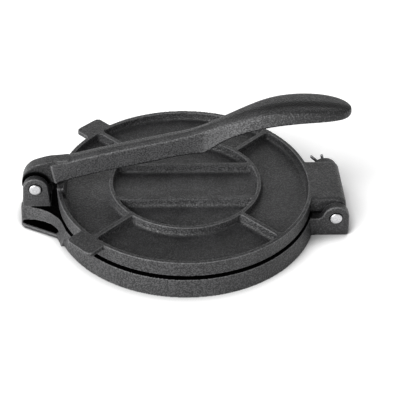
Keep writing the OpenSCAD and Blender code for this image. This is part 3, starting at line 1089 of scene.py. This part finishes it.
@dataclass
class BasePlate:
    """The base: a skirted disc with the lever's bracket on its left and the plate's on its right."""

    axes: PinAxes
    casting: Casting = field(default_factory=Casting)
    base_r: float = 97.0 * MM
    foot_r: float = 99.3 * MM
    rim_h: float = 14.4 * MM
    press_r: float = 90.5 * MM
    face_z: float = 15.85 * MM
    web_z: float = 9.85 * MM
    skirt_t: float = 5.5 * MM
    under_rib_w: float = 4.0 * MM
    floor_fillet: float = 2.4 * MM
    # The plate hinge's bracket
    shelf_z: float = 15.5 * MM
    channel_z: float = 5.4 * MM
    channel_r: float = 9.0 * MM
    hinge_in: float = 1.5 * MM
    hinge_end: float = 121.9 * MM
    hinge_toe: float = 2.0 * MM
    ear_foot_z: float = 6.0 * MM
    ear_fillet: float = 4.0 * MM
    ear_r: float = 10.0 * MM
    ear_in: float = 25.2 * MM
    ear_out: float = 31.7 * MM
    far_ear: Pair = (-1.5 * MM, 0.4 * MM)
    # The lever's bracket
    lever_end: float = 123.1 * MM
    lever_ear_r: float = 9.2 * MM
    lever_ear_in: float = 6.4 * MM
    lever_ear_out: float = 12.0 * MM
    lever_ear_edge: float = 0.5 * MM
    lever_ear_run: float = 1.2 * MM
    web_in: float = 3.0 * MM
    web_half: float = 42.0 * MM
    slot_z: float = 12.0 * MM
    slot_in: float = 0.4 * MM
    flare_r: float = 36.0 * MM
    flare_lean: float = 5.2 * MM
    # Its foot flange, and the two recesses over the flange's rim: heights at the end and inside
    recess_d: float = 7.0 * MM
    recess_x: float = 6.0 * MM
    recess_low: Pair = (1.6 * MM, 1.2 * MM)
    recess_high: Pair = (4.4 * MM, 7.5 * MM)
    flange_t: float = 3.2 * MM
    flange_rim: float = 2.3 * MM
    flange_corner: float = 4.0 * MM
    flange_half: float = 18.6 * MM
    flange_far: Pair = (-84.0 * MM, 39.0 * MM)
    # Seats for the pins' heads
    seat_r: float = 5.1 * MM
    seat_d: float = 0.4 * MM
    seat_margin: float = 0.1 * MM
    # Where shade is painted, and where the brow over a recess gets a painted highlight
    ledge_in: float = 3.0 * MM
    ledge_out: float = 0.3 * MM
    ledge_drop: float = 0.6 * MM
    ledge_up: float = 0.3
    web_up: float = 0.8
    recess_margin: float = 0.4 * MM
    recess_start: float = 1.2 * MM
    recess_end_x: float = -80.0 * MM
    brow: float = 0.9 * MM
    brow_highlight: float = 0.8

    def build(self, material: Finish) -> Piece:
        """Models the casting and puts it on its body.

        Args:
            material: Its finish.

        Returns:
            The finished piece.
        """
        base = self.disc()
        combine(base, [self.lever_bracket(), self.hinge_bracket()], "UNION")
        combine(base, [self.hollow()], "DIFFERENCE")
        combine(base, self.under_ribs(), "UNION")
        merge_doubles(base)
        self.casting.finish(base, [*map(self.axes.bore, (self.axes.hinge, self.axes.lever)),
                                   *self.pin_seats()])
        record_painted_shade(base, self.painted_shade_at)
        return dress(base, material, Body.BASE, "base_plate")

    def painted_shade_at(self, p: Vector, n: Vector) -> float:
        """Gives painted shade on the ledges, in the foot's recesses and round the pins' heads.

        The brow over each recess gets a painted highlight.

        Args:
            p: The point.
            n: The normal there.

        Returns:
            Its painted shade, or below 0 how strong its painted highlight is.
        """
        # Painted shadow on the base's ledge under the upper plate's edge
        ledge = self.press_r - self.ledge_in < p.xy.length < self.base_r - self.ledge_out
        if ledge and n.z > self.ledge_up and p.z > self.rim_h - self.ledge_drop:
            return 1.0
        # Painted shadow on the lever bracket's upward faces between its ears and the disc
        if p.x < 0 and n.z > self.web_up and self.slot_z - MM < p.z < self.rim_h + MM:
            return 1.0
        # Painted shade in the foot's recesses, and a painted highlight on the brow over them
        margin = self.recess_margin
        inside = abs(p.y) < self.flange_reach(p.x) - self.flange_rim + margin
        along = self.recess_start - self.lever_end < p.x < self.recess_end_x
        if inside and along and p.xy.length > self.foot_r - margin:
            low, roof = self.recess_span(p.x)
            if low - MM < p.z < roof:
                return 1.0
            if roof <= p.z < roof + self.brow and abs(p.y) > self.lever_ear_out:
                return -self.brow_highlight
        # Painted shade round the pins' heads, in their seats
        reach = min(math.dist((p.x, p.z), at) for at in (self.axes.hinge, self.axes.lever))
        sunk = all(abs(abs(p.y) - face) > self.seat_d / 2 for face in (self.ear_out, self.lever_ear_out))
        return 1.0 if sunk and reach < self.seat_r + self.seat_margin else 0.0

    def recess_span(self, x: float) -> Pair:
        """Gives the heights between which the foot's recess lies at a place along X.

        Args:
            x: The place.

        Returns:
            The height of the floor and of the roof.
        """
        start = -self.lever_end + self.flange_rim
        way = (x - start) / (self.flange_far[0] - start)
        low, high = ((1 - way) * span[0] + way * span[1]
                     for span in (self.recess_low, self.recess_high))
        return low, high

    def pin_seats(self) -> list[Piece]:
        """Models the shallow seats that are cut into the near ears for the pins' heads."""
        return [roller("seat", self.seat_r, -face - MM, self.seat_d - face, *at)
                for face, at in ((self.ear_out, self.axes.hinge), (self.lever_ear_out, self.axes.lever))]

    def disc(self) -> Piece:
        """Models the disc with its raised pressing face.

        Returns:
            The disc.
        """
        disc = drum("base_plate_casting", self.foot_r, self.base_r, 0, self.rim_h, ROUND)
        raise_press_face(disc, self.base_r, self.rim_h, self.press_r, self.face_z)
        return disc

    def hollow(self) -> Piece:
        """Models the hollow under the disc, with a rounded edge to its roof.

        Returns:
            The solid that is cut out.
        """
        depth = 2 * MM
        lean = (self.foot_r - self.base_r) / self.rim_h
        roof_r = self.base_r - self.skirt_t
        hollow = drum("hollow", roof_r + lean * (self.web_z + depth), roof_r, -depth, self.web_z)
        with editing(hollow, "EDGE"):
            pick_edges(hollow, lambda a, b: min(a.z, b.z) > self.web_z - HAIR)
            bpy.ops.mesh.bevel(offset=self.floor_fillet, segments=4)
        return hollow

    def under_ribs(self) -> list[Piece]:
        """Models the two crossed ribs in the hollow.

        Returns:
            The ribs.
        """
        reach = self.base_r - self.skirt_t + MM
        half = self.under_rib_w / 2
        low, high = self.web_z / 2, self.web_z + MM
        return [block("rib", (-reach, -half, low), (reach, half, high)),
                block("rib", (-half, -reach, low), (half, reach, high))]

    def hinge_bracket(self) -> Piece:
        """Models the block on the right, with its channel and its two ears.

        Returns:
            The bracket.
        """
        (x, z), r, fillet = self.axes.hinge, self.ear_r, self.ear_fillet
        inner, end, toe = self.press_r + self.hinge_in, self.hinge_end, self.hinge_toe
        outline = [(inner, 0), (end - toe, 0), (end - 0.3 * toe, 0.3 * toe), (end, toe),
                   (x + r, self.shelf_z), (inner, self.shelf_z)]
        bracket = slab("hinge_bracket", outline, -self.ear_out, self.ear_out)
        ears = []
        for low, high, (dx, dz) in ((-self.ear_out, -self.ear_in, (0, 0)),
                                    (self.ear_in, self.ear_out, self.far_ear)):
            turn = math.degrees(math.asin((self.shelf_z + fillet - z - dz) / (r + fillet)))
            reach = (r + fillet) * math.cos(math.radians(turn))
            outline = [(x + dx + r, self.ear_foot_z), *arc(x + dx, z + dz, r, 0, 180 - turn, 18),
                       *arc(x + dx - reach, self.shelf_z + fillet, fillet, -turn, -90, 6)[1:],
                       (x + dx - reach, self.ear_foot_z)]
            ears.append(slab("ear", outline, low, high))
        combine(bracket, ears, "UNION")
        channel = block("channel", (x - self.channel_r, -self.ear_in, self.channel_z),
                        (x + 2 * r, self.ear_in, self.shelf_z + 3 * r))
        combine(bracket, [channel], "DIFFERENCE")
        return bracket

    def lever_bracket(self) -> Piece:
        """Models the bracket on the left: a waisted web on a foot flange, and two ears.

        Returns:
            The bracket.
        """
        (x, z), r, end = self.axes.lever, self.lever_ear_r, -self.lever_end
        near, far = self.lever_ear_in, self.lever_ear_out
        bracket = block("lever_bracket", (end, -self.web_half, 0),
                        (self.web_in - self.press_r, self.web_half, self.rim_h))
        for side in (-1, 1):
            waist = drum("waist", self.flare_r - self.flare_lean, self.flare_r, -MM, self.rim_h + MM,
                         ROUND)
            waist.location = (end, side * (far + self.flare_r), 0)
            combine(bracket, [settle("waist", waist)], "DIFFERENCE")
        combine(bracket, [self.flange(0, 0, self.flange_t)], "UNION")
        for side in (-1, 1):
            combine(bracket, [self.recess(side)], "DIFFERENCE")
        leg = x + r + self.lever_ear_run
        outline = [(end, 0), (leg, 0), (leg, self.rim_h), *arc(x, z, r, 0, 180, 24)]
        combine(bracket, [slab("ear", outline, *span, self.lever_ear_edge)
                          for span in ((near, far), (-far, -near))], "UNION")
        slot = block("slot", (end - MM, -near, self.slot_z), (leg - self.slot_in, near, 2 * z))
        combine(bracket, [slot], "DIFFERENCE")
        return bracket

    @property
    def flange_slope(self) -> float:
        """How much half the foot flange's width grows for each length along X."""
        far_x, far_y = self.flange_far
        return (far_y - self.flange_half) / (self.lever_end + far_x)

    def flange_reach(self, x: float) -> float:
        """Gives half the foot flange's width at a place along X."""
        return self.flange_half + self.flange_slope * (x + self.lever_end)

    def flange(self, inset: float, low: float, high: float) -> Piece:
        """Models the foot flange's plan as a slab.

        Args:
            inset: How far it is drawn in at its end and its sides. Its corners are round without it.
            low: Height of its underside.
            high: Height of its top.

        Returns:
            The slab.
        """
        made = block("flange", (-self.lever_end + inset, -1, low), (self.flange_far[0], 1, high))
        drawn = inset * math.hypot(1, self.flange_slope)
        for point in made.data.vertices:
            point.co.y = math.copysign(self.flange_reach(point.co.x) - drawn, point.co.y)
        if not inset:
            with editing(made, "EDGE"):
                pick_edges(made, lambda a, b: abs(a.z - b.z) > MM and a.x < -self.lever_end + MM)
                bpy.ops.mesh.bevel(offset=self.flange_corner, segments=5)
        return made

    def recess(self, side: int) -> Piece:
        """Models the lens-shaped recess between the web and the flange's rim on one side.

        Args:
            side: -1 for the near side, 1 for the far one.

        Returns:
            The solid that is cut out.
        """
        middle = self.recess_low[0]
        recess = self.flange(self.flange_rim, 0, 2 * middle)
        for point in recess.data.vertices:
            point.co.z = self.recess_span(point.co.x)[point.co.z > middle]
        lens_r = self.flare_r + self.recess_d
        lens = drum("lens", lens_r, lens_r, 0, self.recess_high[1] + MM, ROUND)
        lens.location = (self.recess_x - self.lever_end, side * (self.lever_ear_out + self.flare_r), 0)
        combine(recess, [settle("lens", lens)], "INTERSECT")
        return recess


@dataclass(frozen=True)
class Station:
    """One cross-section of the lever's arm, all in millimetres from the middle of the base."""

    x: float
    top_z: float
    top_half: float
    low_half: float
    low_z: float
    crown: float
    top_r: float
    low_r: float

    def between(self, other: "Station", way: float) -> "Station":
        """Gives the cross-section at a share of the way to another one."""
        return Station(*(mine + way * (its - mine)
                         for mine, its in zip(astuple(self), astuple(other))))

    def outline(self) -> list[Place]:
        """Gives the points round the cross-section, in metres.

        Returns:
            The points.
        """
        corners = [(0.0, self.top_z + self.crown, 0.0), (self.top_half, self.top_z, self.top_r),
                   (self.low_half, self.low_z, self.low_r), (-self.low_half, self.low_z, self.low_r),
                   (-self.top_half, self.top_z, self.top_r)]
        return [(self.x * MM, y * MM, z * MM) for y, z in round_corners(corners)]


def round_corners(corners: list[Place], steps: int = 5, most: float = 0.45) -> list[Pair]:
    """Rounds the corners of a polygon with curves that touch both of its sides.

    Args:
        corners: Its corners, each with a radius. A radius of 0 keeps a corner sharp.
        steps: Number of steps along a rounded corner.
        most: The share of a side that one corner's rounding may take up.

    Returns:
        The points of the rounded polygon.
    """
    made = []
    for k, (u, v, r) in enumerate(corners):
        here = Vector((u, v))
        if not r:
            made.append((u, v))
            continue
        back = Vector(corners[k - 1][:2]) - here
        ahead = Vector(corners[(k + 1) % len(corners)][:2]) - here
        half = back.angle(ahead) / 2
        reach = min(r / math.tan(half), most * back.length, most * ahead.length)
        start, end = here + reach * back.normalized(), here + reach * ahead.normalized()
        for n in range(steps + 1):
            t = n / steps
            made.append(tuple((1 - t) ** 2 * start + 2 * t * (1 - t) * here + t ** 2 * end))
    return made


@dataclass
class Lever:
    """The hand lever: the arm with its paddle grip, and the knuckle under its hood."""

    axes: PinAxes
    casting: Casting = field(default_factory=lambda: Casting(faces=90_000))
    knuckle_w: float = 9.8 * MM
    knuckle_r: float = 9.3 * MM
    rounding: float = 1.3 * MM
    # The hood's outline, in millimetres
    hood: tuple[Pair, ...] = (
        (-95.0, 31.0), (-86.0, 44.0), (-86.0, 51.2), (-91.0, 50.6), (-95.0, 50.2), (-98.9, 49.9),
        (-102.3, 49.3), (-105.5, 48.4), (-109.0, 47.3), (-112.8, 45.8), (-115.5, 44.0),
        (-117.8, 41.6), (-119.6, 38.9), (-121.0, 35.4), (-121.9, 31.5), (-122.0, 28.5),
        (-121.0, 25.0), (-118.6, 22.4))
    end_top: Pair = (-99.1 * MM, 46.4 * MM)
    end_low: Pair = (-96.4 * MM, 30.8 * MM)
    chamfer: float = 2.2 * MM
    chamfer_narrowing: float = 0.6
    # Painted shade on the knuckle's cheeks
    cheek_dark_r: float = 10.6 * MM
    cheek_fade: float = 2.6 * MM
    cheek_least: float = 0.3
    cheek_out: float = 0.25 * MM
    cheek_facing: float = 0.6
    # Painted shade along the top of the arm and grip, and a painted highlight on the grip's near side
    grip_span: Pair = (20 * MM, 60 * MM)
    stripe_half: Pair = (6 * MM, 15 * MM)
    stripe_shift: Pair = (0.1, 0.3)
    stripe_shade: Pair = (0.2, 0.62)
    stripe_far: float = 0.5
    stripe_near: float = 0.3
    top_span: Pair = (0.45, 0.9)
    grip_highlight: float = 0.3
    grip_highlight_span: Pair = (0.3, 0.45)
    # Painted shade underneath, and painted highlights on the front and on the chamfer
    under_below: float = -0.15
    under_flank: float = 0.9
    under_flat: float = 0.1
    flat_below: float = -0.85
    chamfer_below: float = -0.2
    front_below: float = -0.3
    front_highlight: float = 0.55
    front_span: Pair = (4 * MM, 14 * MM)
    front_end: Pair = (70 * MM, 35 * MM)
    # Cross-sections from the hinge to the grip's tip
    steps: int = 4
    stations: tuple[Station, ...] = (
        Station(-104.0, 44.6, 5.9, 6.8, 28.5, 0.7, 1.5, 0.6),
        Station(-92.0, 48.2, 5.6, 6.4, 32.2, 0.7, 1.5, 0.8),
        Station(-85.0, 50.3, 5.5, 6.3, 34.9, 0.7, 1.5, 0.8),
        Station(-75.0, 53.1, 5.5, 6.3, 38.0, 0.7, 1.5, 0.8),
        Station(-60.0, 57.1, 5.4, 6.2, 42.0, 0.7, 1.5, 0.8),
        Station(-45.0, 60.8, 5.6, 6.4, 45.6, 0.7, 1.5, 0.8),
        Station(-30.0, 64.3, 5.6, 6.4, 49.1, 0.7, 1.6, 0.8),
        Station(-18.0, 67.2, 5.7, 6.5, 52.2, 0.7, 1.7, 0.8),
        Station(-8.0, 69.5, 5.6, 6.5, 54.7, 0.8, 1.9, 0.8),
        Station(-2.0, 71.0, 5.4, 6.4, 56.0, 0.8, 2.1, 0.8),
        Station(5.0, 73.1, 5.2, 6.4, 56.9, 0.9, 2.3, 0.8),
        Station(11.0, 75.4, 5.2, 6.6, 57.4, 1.0, 2.5, 0.9),
        Station(14.5, 76.9, 5.3, 6.9, 58.6, 1.0, 2.7, 1.0),
        Station(20.0, 79.4, 5.9, 7.9, 63.2, 0.9, 3.0, 1.2),
        Station(26.0, 82.1, 6.5, 9.1, 68.4, 0.8, 3.2, 1.4),
        Station(32.0, 84.9, 7.2, 10.2, 72.8, 0.8, 3.4, 1.5),
        Station(42.0, 89.4, 8.8, 12.1, 78.0, 0.8, 4.6, 1.6),
        Station(55.0, 94.3, 11.1, 14.9, 83.6, 0.8, 5.6, 1.8),
        Station(67.0, 96.9, 12.9, 16.8, 87.1, 0.8, 6.4, 2.0),
        Station(80.0, 98.0, 13.8, 17.7, 89.2, 0.8, 6.8, 2.0),
        Station(92.0, 98.0, 13.6, 17.2, 89.8, 0.8, 6.8, 2.0),
        Station(102.0, 97.2, 12.7, 15.9, 89.8, 0.8, 6.0, 2.0),
        Station(109.0, 96.2, 11.0, 13.8, 89.5, 0.7, 5.0, 2.0),
        Station(114.0, 95.2, 8.6, 11.0, 89.2, 0.5, 3.0, 1.8),
        Station(117.4, 94.4, 5.6, 7.6, 89.2, 0.3, 2.0, 1.5),
        Station(119.4, 93.4, 2.4, 3.4, 89.8, 0.2, 0.8, 0.8))

    def build(self, material: Finish) -> Piece:
        """Models the casting and puts it on its body.

        Args:
            material: Its finish.

        Returns:
            The finished piece.
        """
        lever = self.arm()
        combine(lever, [self.knuckle()], "UNION")
        combine(lever, [self.axes.bore(self.axes.lever, hidden=True)], "DIFFERENCE")
        merge_doubles(lever)
        self.casting.finish(lever, [])
        record_painted_shade(lever, self.painted_shade_at)
        return dress(lever, material, Body.LEVER, "press_lever")

    def painted_shade_at(self, p: Vector, n: Vector) -> float:
        """Gives a point's painted shade: under and on top of the arm, and on the knuckle's cheeks.

        The chamfer at the arm's end and the front below the grip get painted highlights.

        Args:
            p: The point.
            n: The normal there.

        Returns:
            Its painted shade, or below 0 how strong its painted highlight is.
        """
        if p.x > self.end_low[0] + MM:
            # Painted shade underneath the arm, lighter on its flat underside
            if n.z < self.under_below:
                return self.under_flank if n.z > self.flat_below else self.under_flat
            # Painted shade along the top
            if n.z > self.top_span[0]:
                return self.top_painted_shade(p, n)
            # Painted highlight on the front, below the grip
            shine = min(share(p.x, *self.front_span), share(p.x, *self.front_end))
            return -self.front_highlight * shine if n.y < self.front_below else 0.0
        # Painted highlight on the chamfer at the arm's end
        if abs(p.y) > self.knuckle_w / 2 + self.cheek_out:
            return -1.0 if n.x < self.chamfer_below else 0.0
        if abs(n.y) < self.cheek_facing:
            return 0.0
        # Painted shade on the knuckle's cheeks, darkest round the pin
        reach = math.dist((p.x, p.z), self.axes.lever)
        return max(self.cheek_least, min(1.0, 1.0 - (reach - self.cheek_dark_r) / self.cheek_fade))

    def top_painted_shade(self, p: Vector, n: Vector) -> float:
        """Gives a top point's painted shade: a soft dark stripe, wide and strong along the grip.

        Args:
            p: The point.
            n: The normal there.

        Returns:
            Its painted shade, or below 0 how strong its painted highlight is.
        """
        grip = share(p.x, *self.grip_span)
        half, shift, most = ((1 - grip) * arm + grip * full for arm, full in
                             (self.stripe_half, self.stripe_shift, self.stripe_shade))
        side = p.y / half + shift
        stripe = math.exp(-((side / (self.stripe_far if side > 0 else self.stripe_near)) ** 2))
        # Painted highlight on the grip's near side
        worn_and_highlit = self.grip_highlight * grip * share(-side, *self.grip_highlight_span)
        return most * stripe * share(n.z, *self.top_span) - worn_and_highlit

    def arm(self) -> Piece:
        """Models the arm and grip, cut square at the knuckle with a chamfer round the cut.

        Returns:
            The arm.
        """
        rows = [near.between(far, k / self.steps).outline()
                for near, far in zip(self.stations, self.stations[1:]) for k in range(self.steps)]
        rows.append(self.stations[-1].outline())
        for _ in range(self.steps):
            inner = [[tuple((p + 2 * q + r) / 4 for p, q, r in zip(*points))
                      for points in zip(before, row, after)]
                     for before, row, after in zip(rows, rows[1:], rows[2:])]
            rows = [rows[0], *inner, rows[-1]]
        bpy.ops.mesh.primitive_circle_add(vertices=len(rows[0]), radius=1, fill_type="NGON")
        arm = settle("press_lever_casting")
        for point, place in zip(arm.data.vertices, rows[0]):
            point.co = place
        with editing(arm, "VERT"):
            bpy.ops.mesh.select_all(action="SELECT")
            for row, following in zip(rows, rows[1:]):
                extrude((0, 0, 0))
                bm = bmesh.from_edit_mesh(arm.data)
                for point in [v for v in bm.verts if v.select]:
                    spot = min(range(len(row)), key=lambda i: (point.co - Vector(row[i])).length)
                    point.co = following[spot]
                bmesh.update_edit_mesh(arm.data)
            turn_faces_out()
        run = Vector((self.end_low[0] - self.end_top[0], 0, self.end_low[1] - self.end_top[1]))
        normal = Vector((0, 1, 0)).cross(run).normalized()
        if normal.x > 0:
            normal.negate()
        top = Vector((self.end_top[0], 0, self.end_top[1]))
        with editing(arm):
            bpy.ops.mesh.select_all(action="SELECT")
            bpy.ops.mesh.bisect(plane_co=top, plane_no=normal, use_fill=True, clear_outer=True)
            pick_faces(arm, lambda c, n: n.dot(normal) > 0.99 and abs((c - top).dot(normal)) < 10 * HAIR)
            extrude(self.chamfer * normal)
            bpy.ops.transform.resize(value=(1, self.chamfer_narrowing, 1), center_override=top)
        return arm

    def knuckle(self) -> Piece:
        """Models the knuckle round the pin and the hood over it.

        Returns:
            The knuckle.
        """
        outline = [(x * MM, z * MM) for x, z in self.hood]
        outline += arc(*self.axes.lever, self.knuckle_r, 235, 360, 14)
        half = self.knuckle_w / 2
        return slab("knuckle", outline, -half, half, self.rounding)


@dataclass
class ClevisPin:
    """A headed pin along Y, with a cross hole for its split pin."""

    name: str
    node: str
    at: Pair
    face_y: float
    turn: float
    pin_r: float = 3.0 * MM
    head_r: float = 4.4 * MM
    head_t: float = 1.4 * MM
    head_side: float = 0.55
    head_crown: tuple[Pair, ...] = ((0.93, 0.2), (0.80, 0.15), (0.5, 0.1))
    tail: float = 5.4 * MM
    tail_edge: float = 0.6 * MM
    hole_r: float = 2.45 * MM
    hole_in: float = 2.2 * MM

    def build(self, material: Finish) -> Piece:
        """Models the pin and puts it on its body.

        Args:
            material: Its finish.

        Returns:
            The finished piece.
        """
        (x, z), end = self.at, self.face_y + self.tail
        pin = roller(self.name, self.pin_r, -self.face_y, end, x, z, 48)
        centre = (x, -self.face_y, z)
        with editing(pin):
            pick_faces(pin, lambda c, n: n.y < -FACING)
            extrude((0, 0, 0))
            wide = self.head_r / self.pin_r
            bpy.ops.transform.resize(value=(wide, 1, wide), center_override=centre)
            extrude((0, -self.head_side * self.head_t, 0))
            for narrow, push in self.head_crown:
                extrude((0, -push * self.head_t, 0))
                bpy.ops.transform.resize(value=(narrow, 1, narrow), center_override=centre)
        with editing(pin, "EDGE"):
            pick_edges(pin, lambda a, b: min(a.y, b.y) > end - HAIR)
            bpy.ops.mesh.bevel(offset=self.tail_edge, segments=3)
        merge_doubles(pin)
        bpy.ops.mesh.primitive_cylinder_add(
            vertices=24, radius=self.hole_r, depth=20 * MM,
            location=(x, self.face_y + self.hole_in, z), rotation=(0, self.turn, 0))
        combine(pin, [settle("hole")], "DIFFERENCE")
        smooth_under(pin, 35)
        return dress(pin, material, Body.BASE, self.node)


@dataclass
class SplitPin:
    """A split pin of folded half-round wire, with its legs spread past the clevis pin."""

    name: str
    node: str
    clevis: ClevisPin
    wide: float = 3.0 * MM
    thick: float = 2.4 * MM
    eye_r: float = 2.4 * MM
    eye_gap: float = 0.2 * MM
    slit: float = 0.06 * MM
    knee_gap: float = 0.5 * MM
    knee_run: Pair = (0.3 * MM, 0.6 * MM)
    legs: tuple[Pair, ...] = ((12.2 * MM, 4.0), (8.0 * MM, 25.0))

    def build(self, material: Finish) -> Piece:
        """Models the split pin and puts it on its body.

        Args:
            material: Its finish.

        Returns:
            The finished piece.
        """
        half = (self.thick + self.slit) / 2
        knee = self.clevis.pin_r + self.knee_gap
        before, after = self.knee_run
        points: list[Pair] = []
        for side, (reach, angle) in zip((-1, 1), self.legs):
            lean, rise = math.sin(math.radians(angle)), math.cos(math.radians(angle))
            row = [(side * (half + reach * lean), knee + reach * rise),
                   (side * (half + after * lean), knee + after),
                   (side * half, knee - before), (side * half, -knee)]
            points += row if side < 0 else row[::-1]
            if side < 0:
                points += arc(0, -knee - self.eye_r - self.eye_gap, self.eye_r, 104, 436, 22)
        data = bpy.data.curves.new(self.name, "CURVE")
        data.dimensions = "3D"
        spline = data.splines.new("POLY")
        spline.points.add(len(points) - 1)
        for spot, (x, z) in zip(spline.points, points):
            spot.co = (x, 0, z, 1)
        data.bevel_mode = "ROUND"
        data.bevel_resolution = 3
        data.use_fill_caps = True
        data.bevel_depth = self.thick / 2
        wire = bpy.data.objects.new(self.name, data)
        bpy.context.scene.collection.objects.link(wire)
        select_only(wire)
        bpy.ops.object.convert(target="MESH")
        wire = bpy.context.object
        with editing(wire, "VERT"):
            bpy.ops.mesh.select_all(action="SELECT")
            bpy.ops.transform.resize(value=(1, self.wide / self.thick, 1), center_override=(0, 0, 0))
        clevis = self.clevis
        middle = (clevis.at[0], clevis.face_y + clevis.hole_in, clevis.at[1])
        wire.matrix_world = Matrix.Translation(middle) @ Matrix.Rotation(clevis.turn, 4, "Y")
        settle(self.name, wire)
        merge_doubles(wire)
        smooth_under(wire, 40)
        return dress(wire, material, Body.BASE, self.node)


# ---- Studio ----


@dataclass(frozen=True)
class Softbox:
    """One wide, distant lamp: where its light comes from, how strong and how soft it is."""

    name: str
    towards: Place
    level: float
    spread: float

    def add(self) -> Piece:
        """Adds the lamp to the scene.

        Returns:
            The lamp.
        """
        data = bpy.data.lights.new(self.name, "SUN")
        data.energy = math.pi * self.level
        data.angle = math.radians(self.spread)
        lamp = bpy.data.objects.new(self.name, data)
        bpy.context.scene.collection.objects.link(lamp)
        lamp.rotation_euler = Vector(self.towards).to_track_quat("Z", "Y").to_euler()
        return lamp


@dataclass
class Studio:
    """Camera, floor, lamps and surroundings."""

    lens: float = 97.34
    place: Place = (-0.02150, -0.68040, 0.53386)
    right: Place = (0.998938, -0.040915, 0.021198)
    up: Place = (0.008489, 0.615540, 0.788060)
    ahead: Place = (0.045292, 0.787043, -0.615234)
    floor_size: float = 12.0
    floor_sink: float = 0.02 * MM
    floor_white: float = 0.82
    # Grey of the painted contact shadow
    floor_shade: float = 0.54
    floor_glow: float = 0.45
    # Reach, rays and span of the painted contact shadow round the object
    contact: float = 18 * MM
    contact_samples: int = 16
    contact_span: Pair = (0.45, 0.92)
    ambient: float = 0.6
    overhead: float = 0.12
    horizon_span: Pair = (0.25, 0.6)
    back: float = 0.5
    back_height: Pair = (0.6, 0.85)
    back_depth: Pair = (0.2, 0.7)
    white: Colour = (1.0, 1.0, 1.0)
    dark: Colour = (0.0, 0.0, 0.0)
    lamps: tuple[Softbox, ...] = (
        Softbox("Key", (-0.62, -0.62, 0.5), 1.6, 50),
        Softbox("Back", (0.1, 0.77, 0.63), 0.16, 50),
    )

    def build(self) -> None:
        """Sets up everything round the object."""
        self.camera()
        self.floor()
        self.world()
        for lamp in self.lamps:
            lamp.add()

    def camera(self) -> None:
        """Adds the camera and makes it the scene's own."""
        data = bpy.data.cameras.new("Camera")
        data.lens = self.lens
        data.sensor_width = 36
        data.clip_start, data.clip_end = 0.01, 50
        camera = bpy.data.objects.new("Camera", data)
        bpy.context.scene.collection.objects.link(camera)
        rows = [(*axis, 0) for axis in zip(self.right, self.up, [-c for c in self.ahead])]
        camera.matrix_world = Matrix.Translation(self.place) @ Matrix([*rows, (0, 0, 0, 1)])
        bpy.context.scene.camera = camera

    def floor(self) -> None:
        """Adds the pale floor, with a contact shadow painted round the object."""
        bpy.ops.mesh.primitive_grid_add(x_subdivisions=8, y_subdivisions=8, size=self.floor_size,
                                        location=(0, 0, -self.floor_sink))
        floor = settle("Floor")
        made, w, shader = blank_finish("Pale floor")
        for key, value in (("Roughness", 1), ("Specular IOR Level", 0),
                           ("Emission Strength", self.floor_glow)):
            shader[key].default_value = value
        # Painted contact shadow: near the object the floor turns grey and glows less
        clear = w.ramp(w.openness(self.contact, self.contact_samples), self.contact_span)
        w.put(w.blend(clear, (self.floor_shade,) * 3, (self.floor_white,) * 3), shader["Base Color"])
        w.put(w.blend(w.math("MULTIPLY", self.seen(w), clear), self.dark, self.white),
              shader["Emission Color"])
        floor.data.materials.append(made)

    def seen(self, w: Wiring) -> Socket:
        """Adds a mask of the rays that show the background, directly or in metal and glass.

        Args:
            w: The wiring of a material or of the world.

        Returns:
            The mask.
        """
        path = w.node("ShaderNodeLightPath").outputs
        return w.math("MAXIMUM", path["Is Camera Ray"],
                      w.math("MAXIMUM", path["Is Glossy Ray"], path["Is Transmission Ray"]))

    def world(self) -> None:
        """Makes the surroundings: white at the horizon, bright behind and dim overhead."""
        world = bpy.data.worlds.new("Studio")
        bpy.context.scene.world = world
        world.use_nodes = True
        w = Wiring(world.node_tree)
        shader = world.node_tree.nodes["Background"]
        split = w.node("ShaderNodeSeparateXYZ")
        w.put(w.node("ShaderNodeTexCoord").outputs["Generated"], split.inputs[0])
        height, depth = split.outputs["Z"], split.outputs["Y"]
        horizon = w.ramp(height, self.horizon_span, (1, 0))
        behind = w.math("MULTIPLY", w.ramp(height, self.back_height, (self.back, 0)),
                        w.ramp(depth, self.back_depth))
        bright = w.math("MAXIMUM", horizon, behind)
        w.put(w.blend(bright, (self.overhead,) * 3, self.white), shader.inputs["Color"])
        w.put(w.ramp(self.seen(w), (0, 1), (self.ambient, 1)), shader.inputs["Strength"])


def main() -> None:
    """Builds the scene."""
    logging.basicConfig(level=logging.INFO, format="%(name)s: %(message)s")
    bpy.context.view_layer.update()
    bpy.context.scene.view_settings.view_transform = "Standard"
    Studio().build()

    iron = SeasonedIron().material("Seasoned iron", grain_group())
    steel = ZincPlate().material("Zinc plate")
    wire = ZincPlate(bright=(0.38, 0.38, 0.385), dull=(0.2, 0.2, 0.205)).material("Zinc wire")
    axes = PinAxes.from_frame()
    base = BasePlate(axes)

    UpperPlate(axes).build(iron)
    base.build(iron)
    Lever(axes).build(iron)
    for name, at, face_y, turn in (("hinge", axes.hinge, base.ear_out, -43),
                                   ("lever", axes.lever, base.lever_ear_out, 60)):
        pin = ClevisPin(f"{name}_clevis_pin", f"{name}_pin", at, face_y, math.radians(turn))
        pin.build(steel)
        SplitPin(f"{name}_cotter", f"{name}_split_pin", pin).build(wire)


if __name__ == "__main__":
    main()
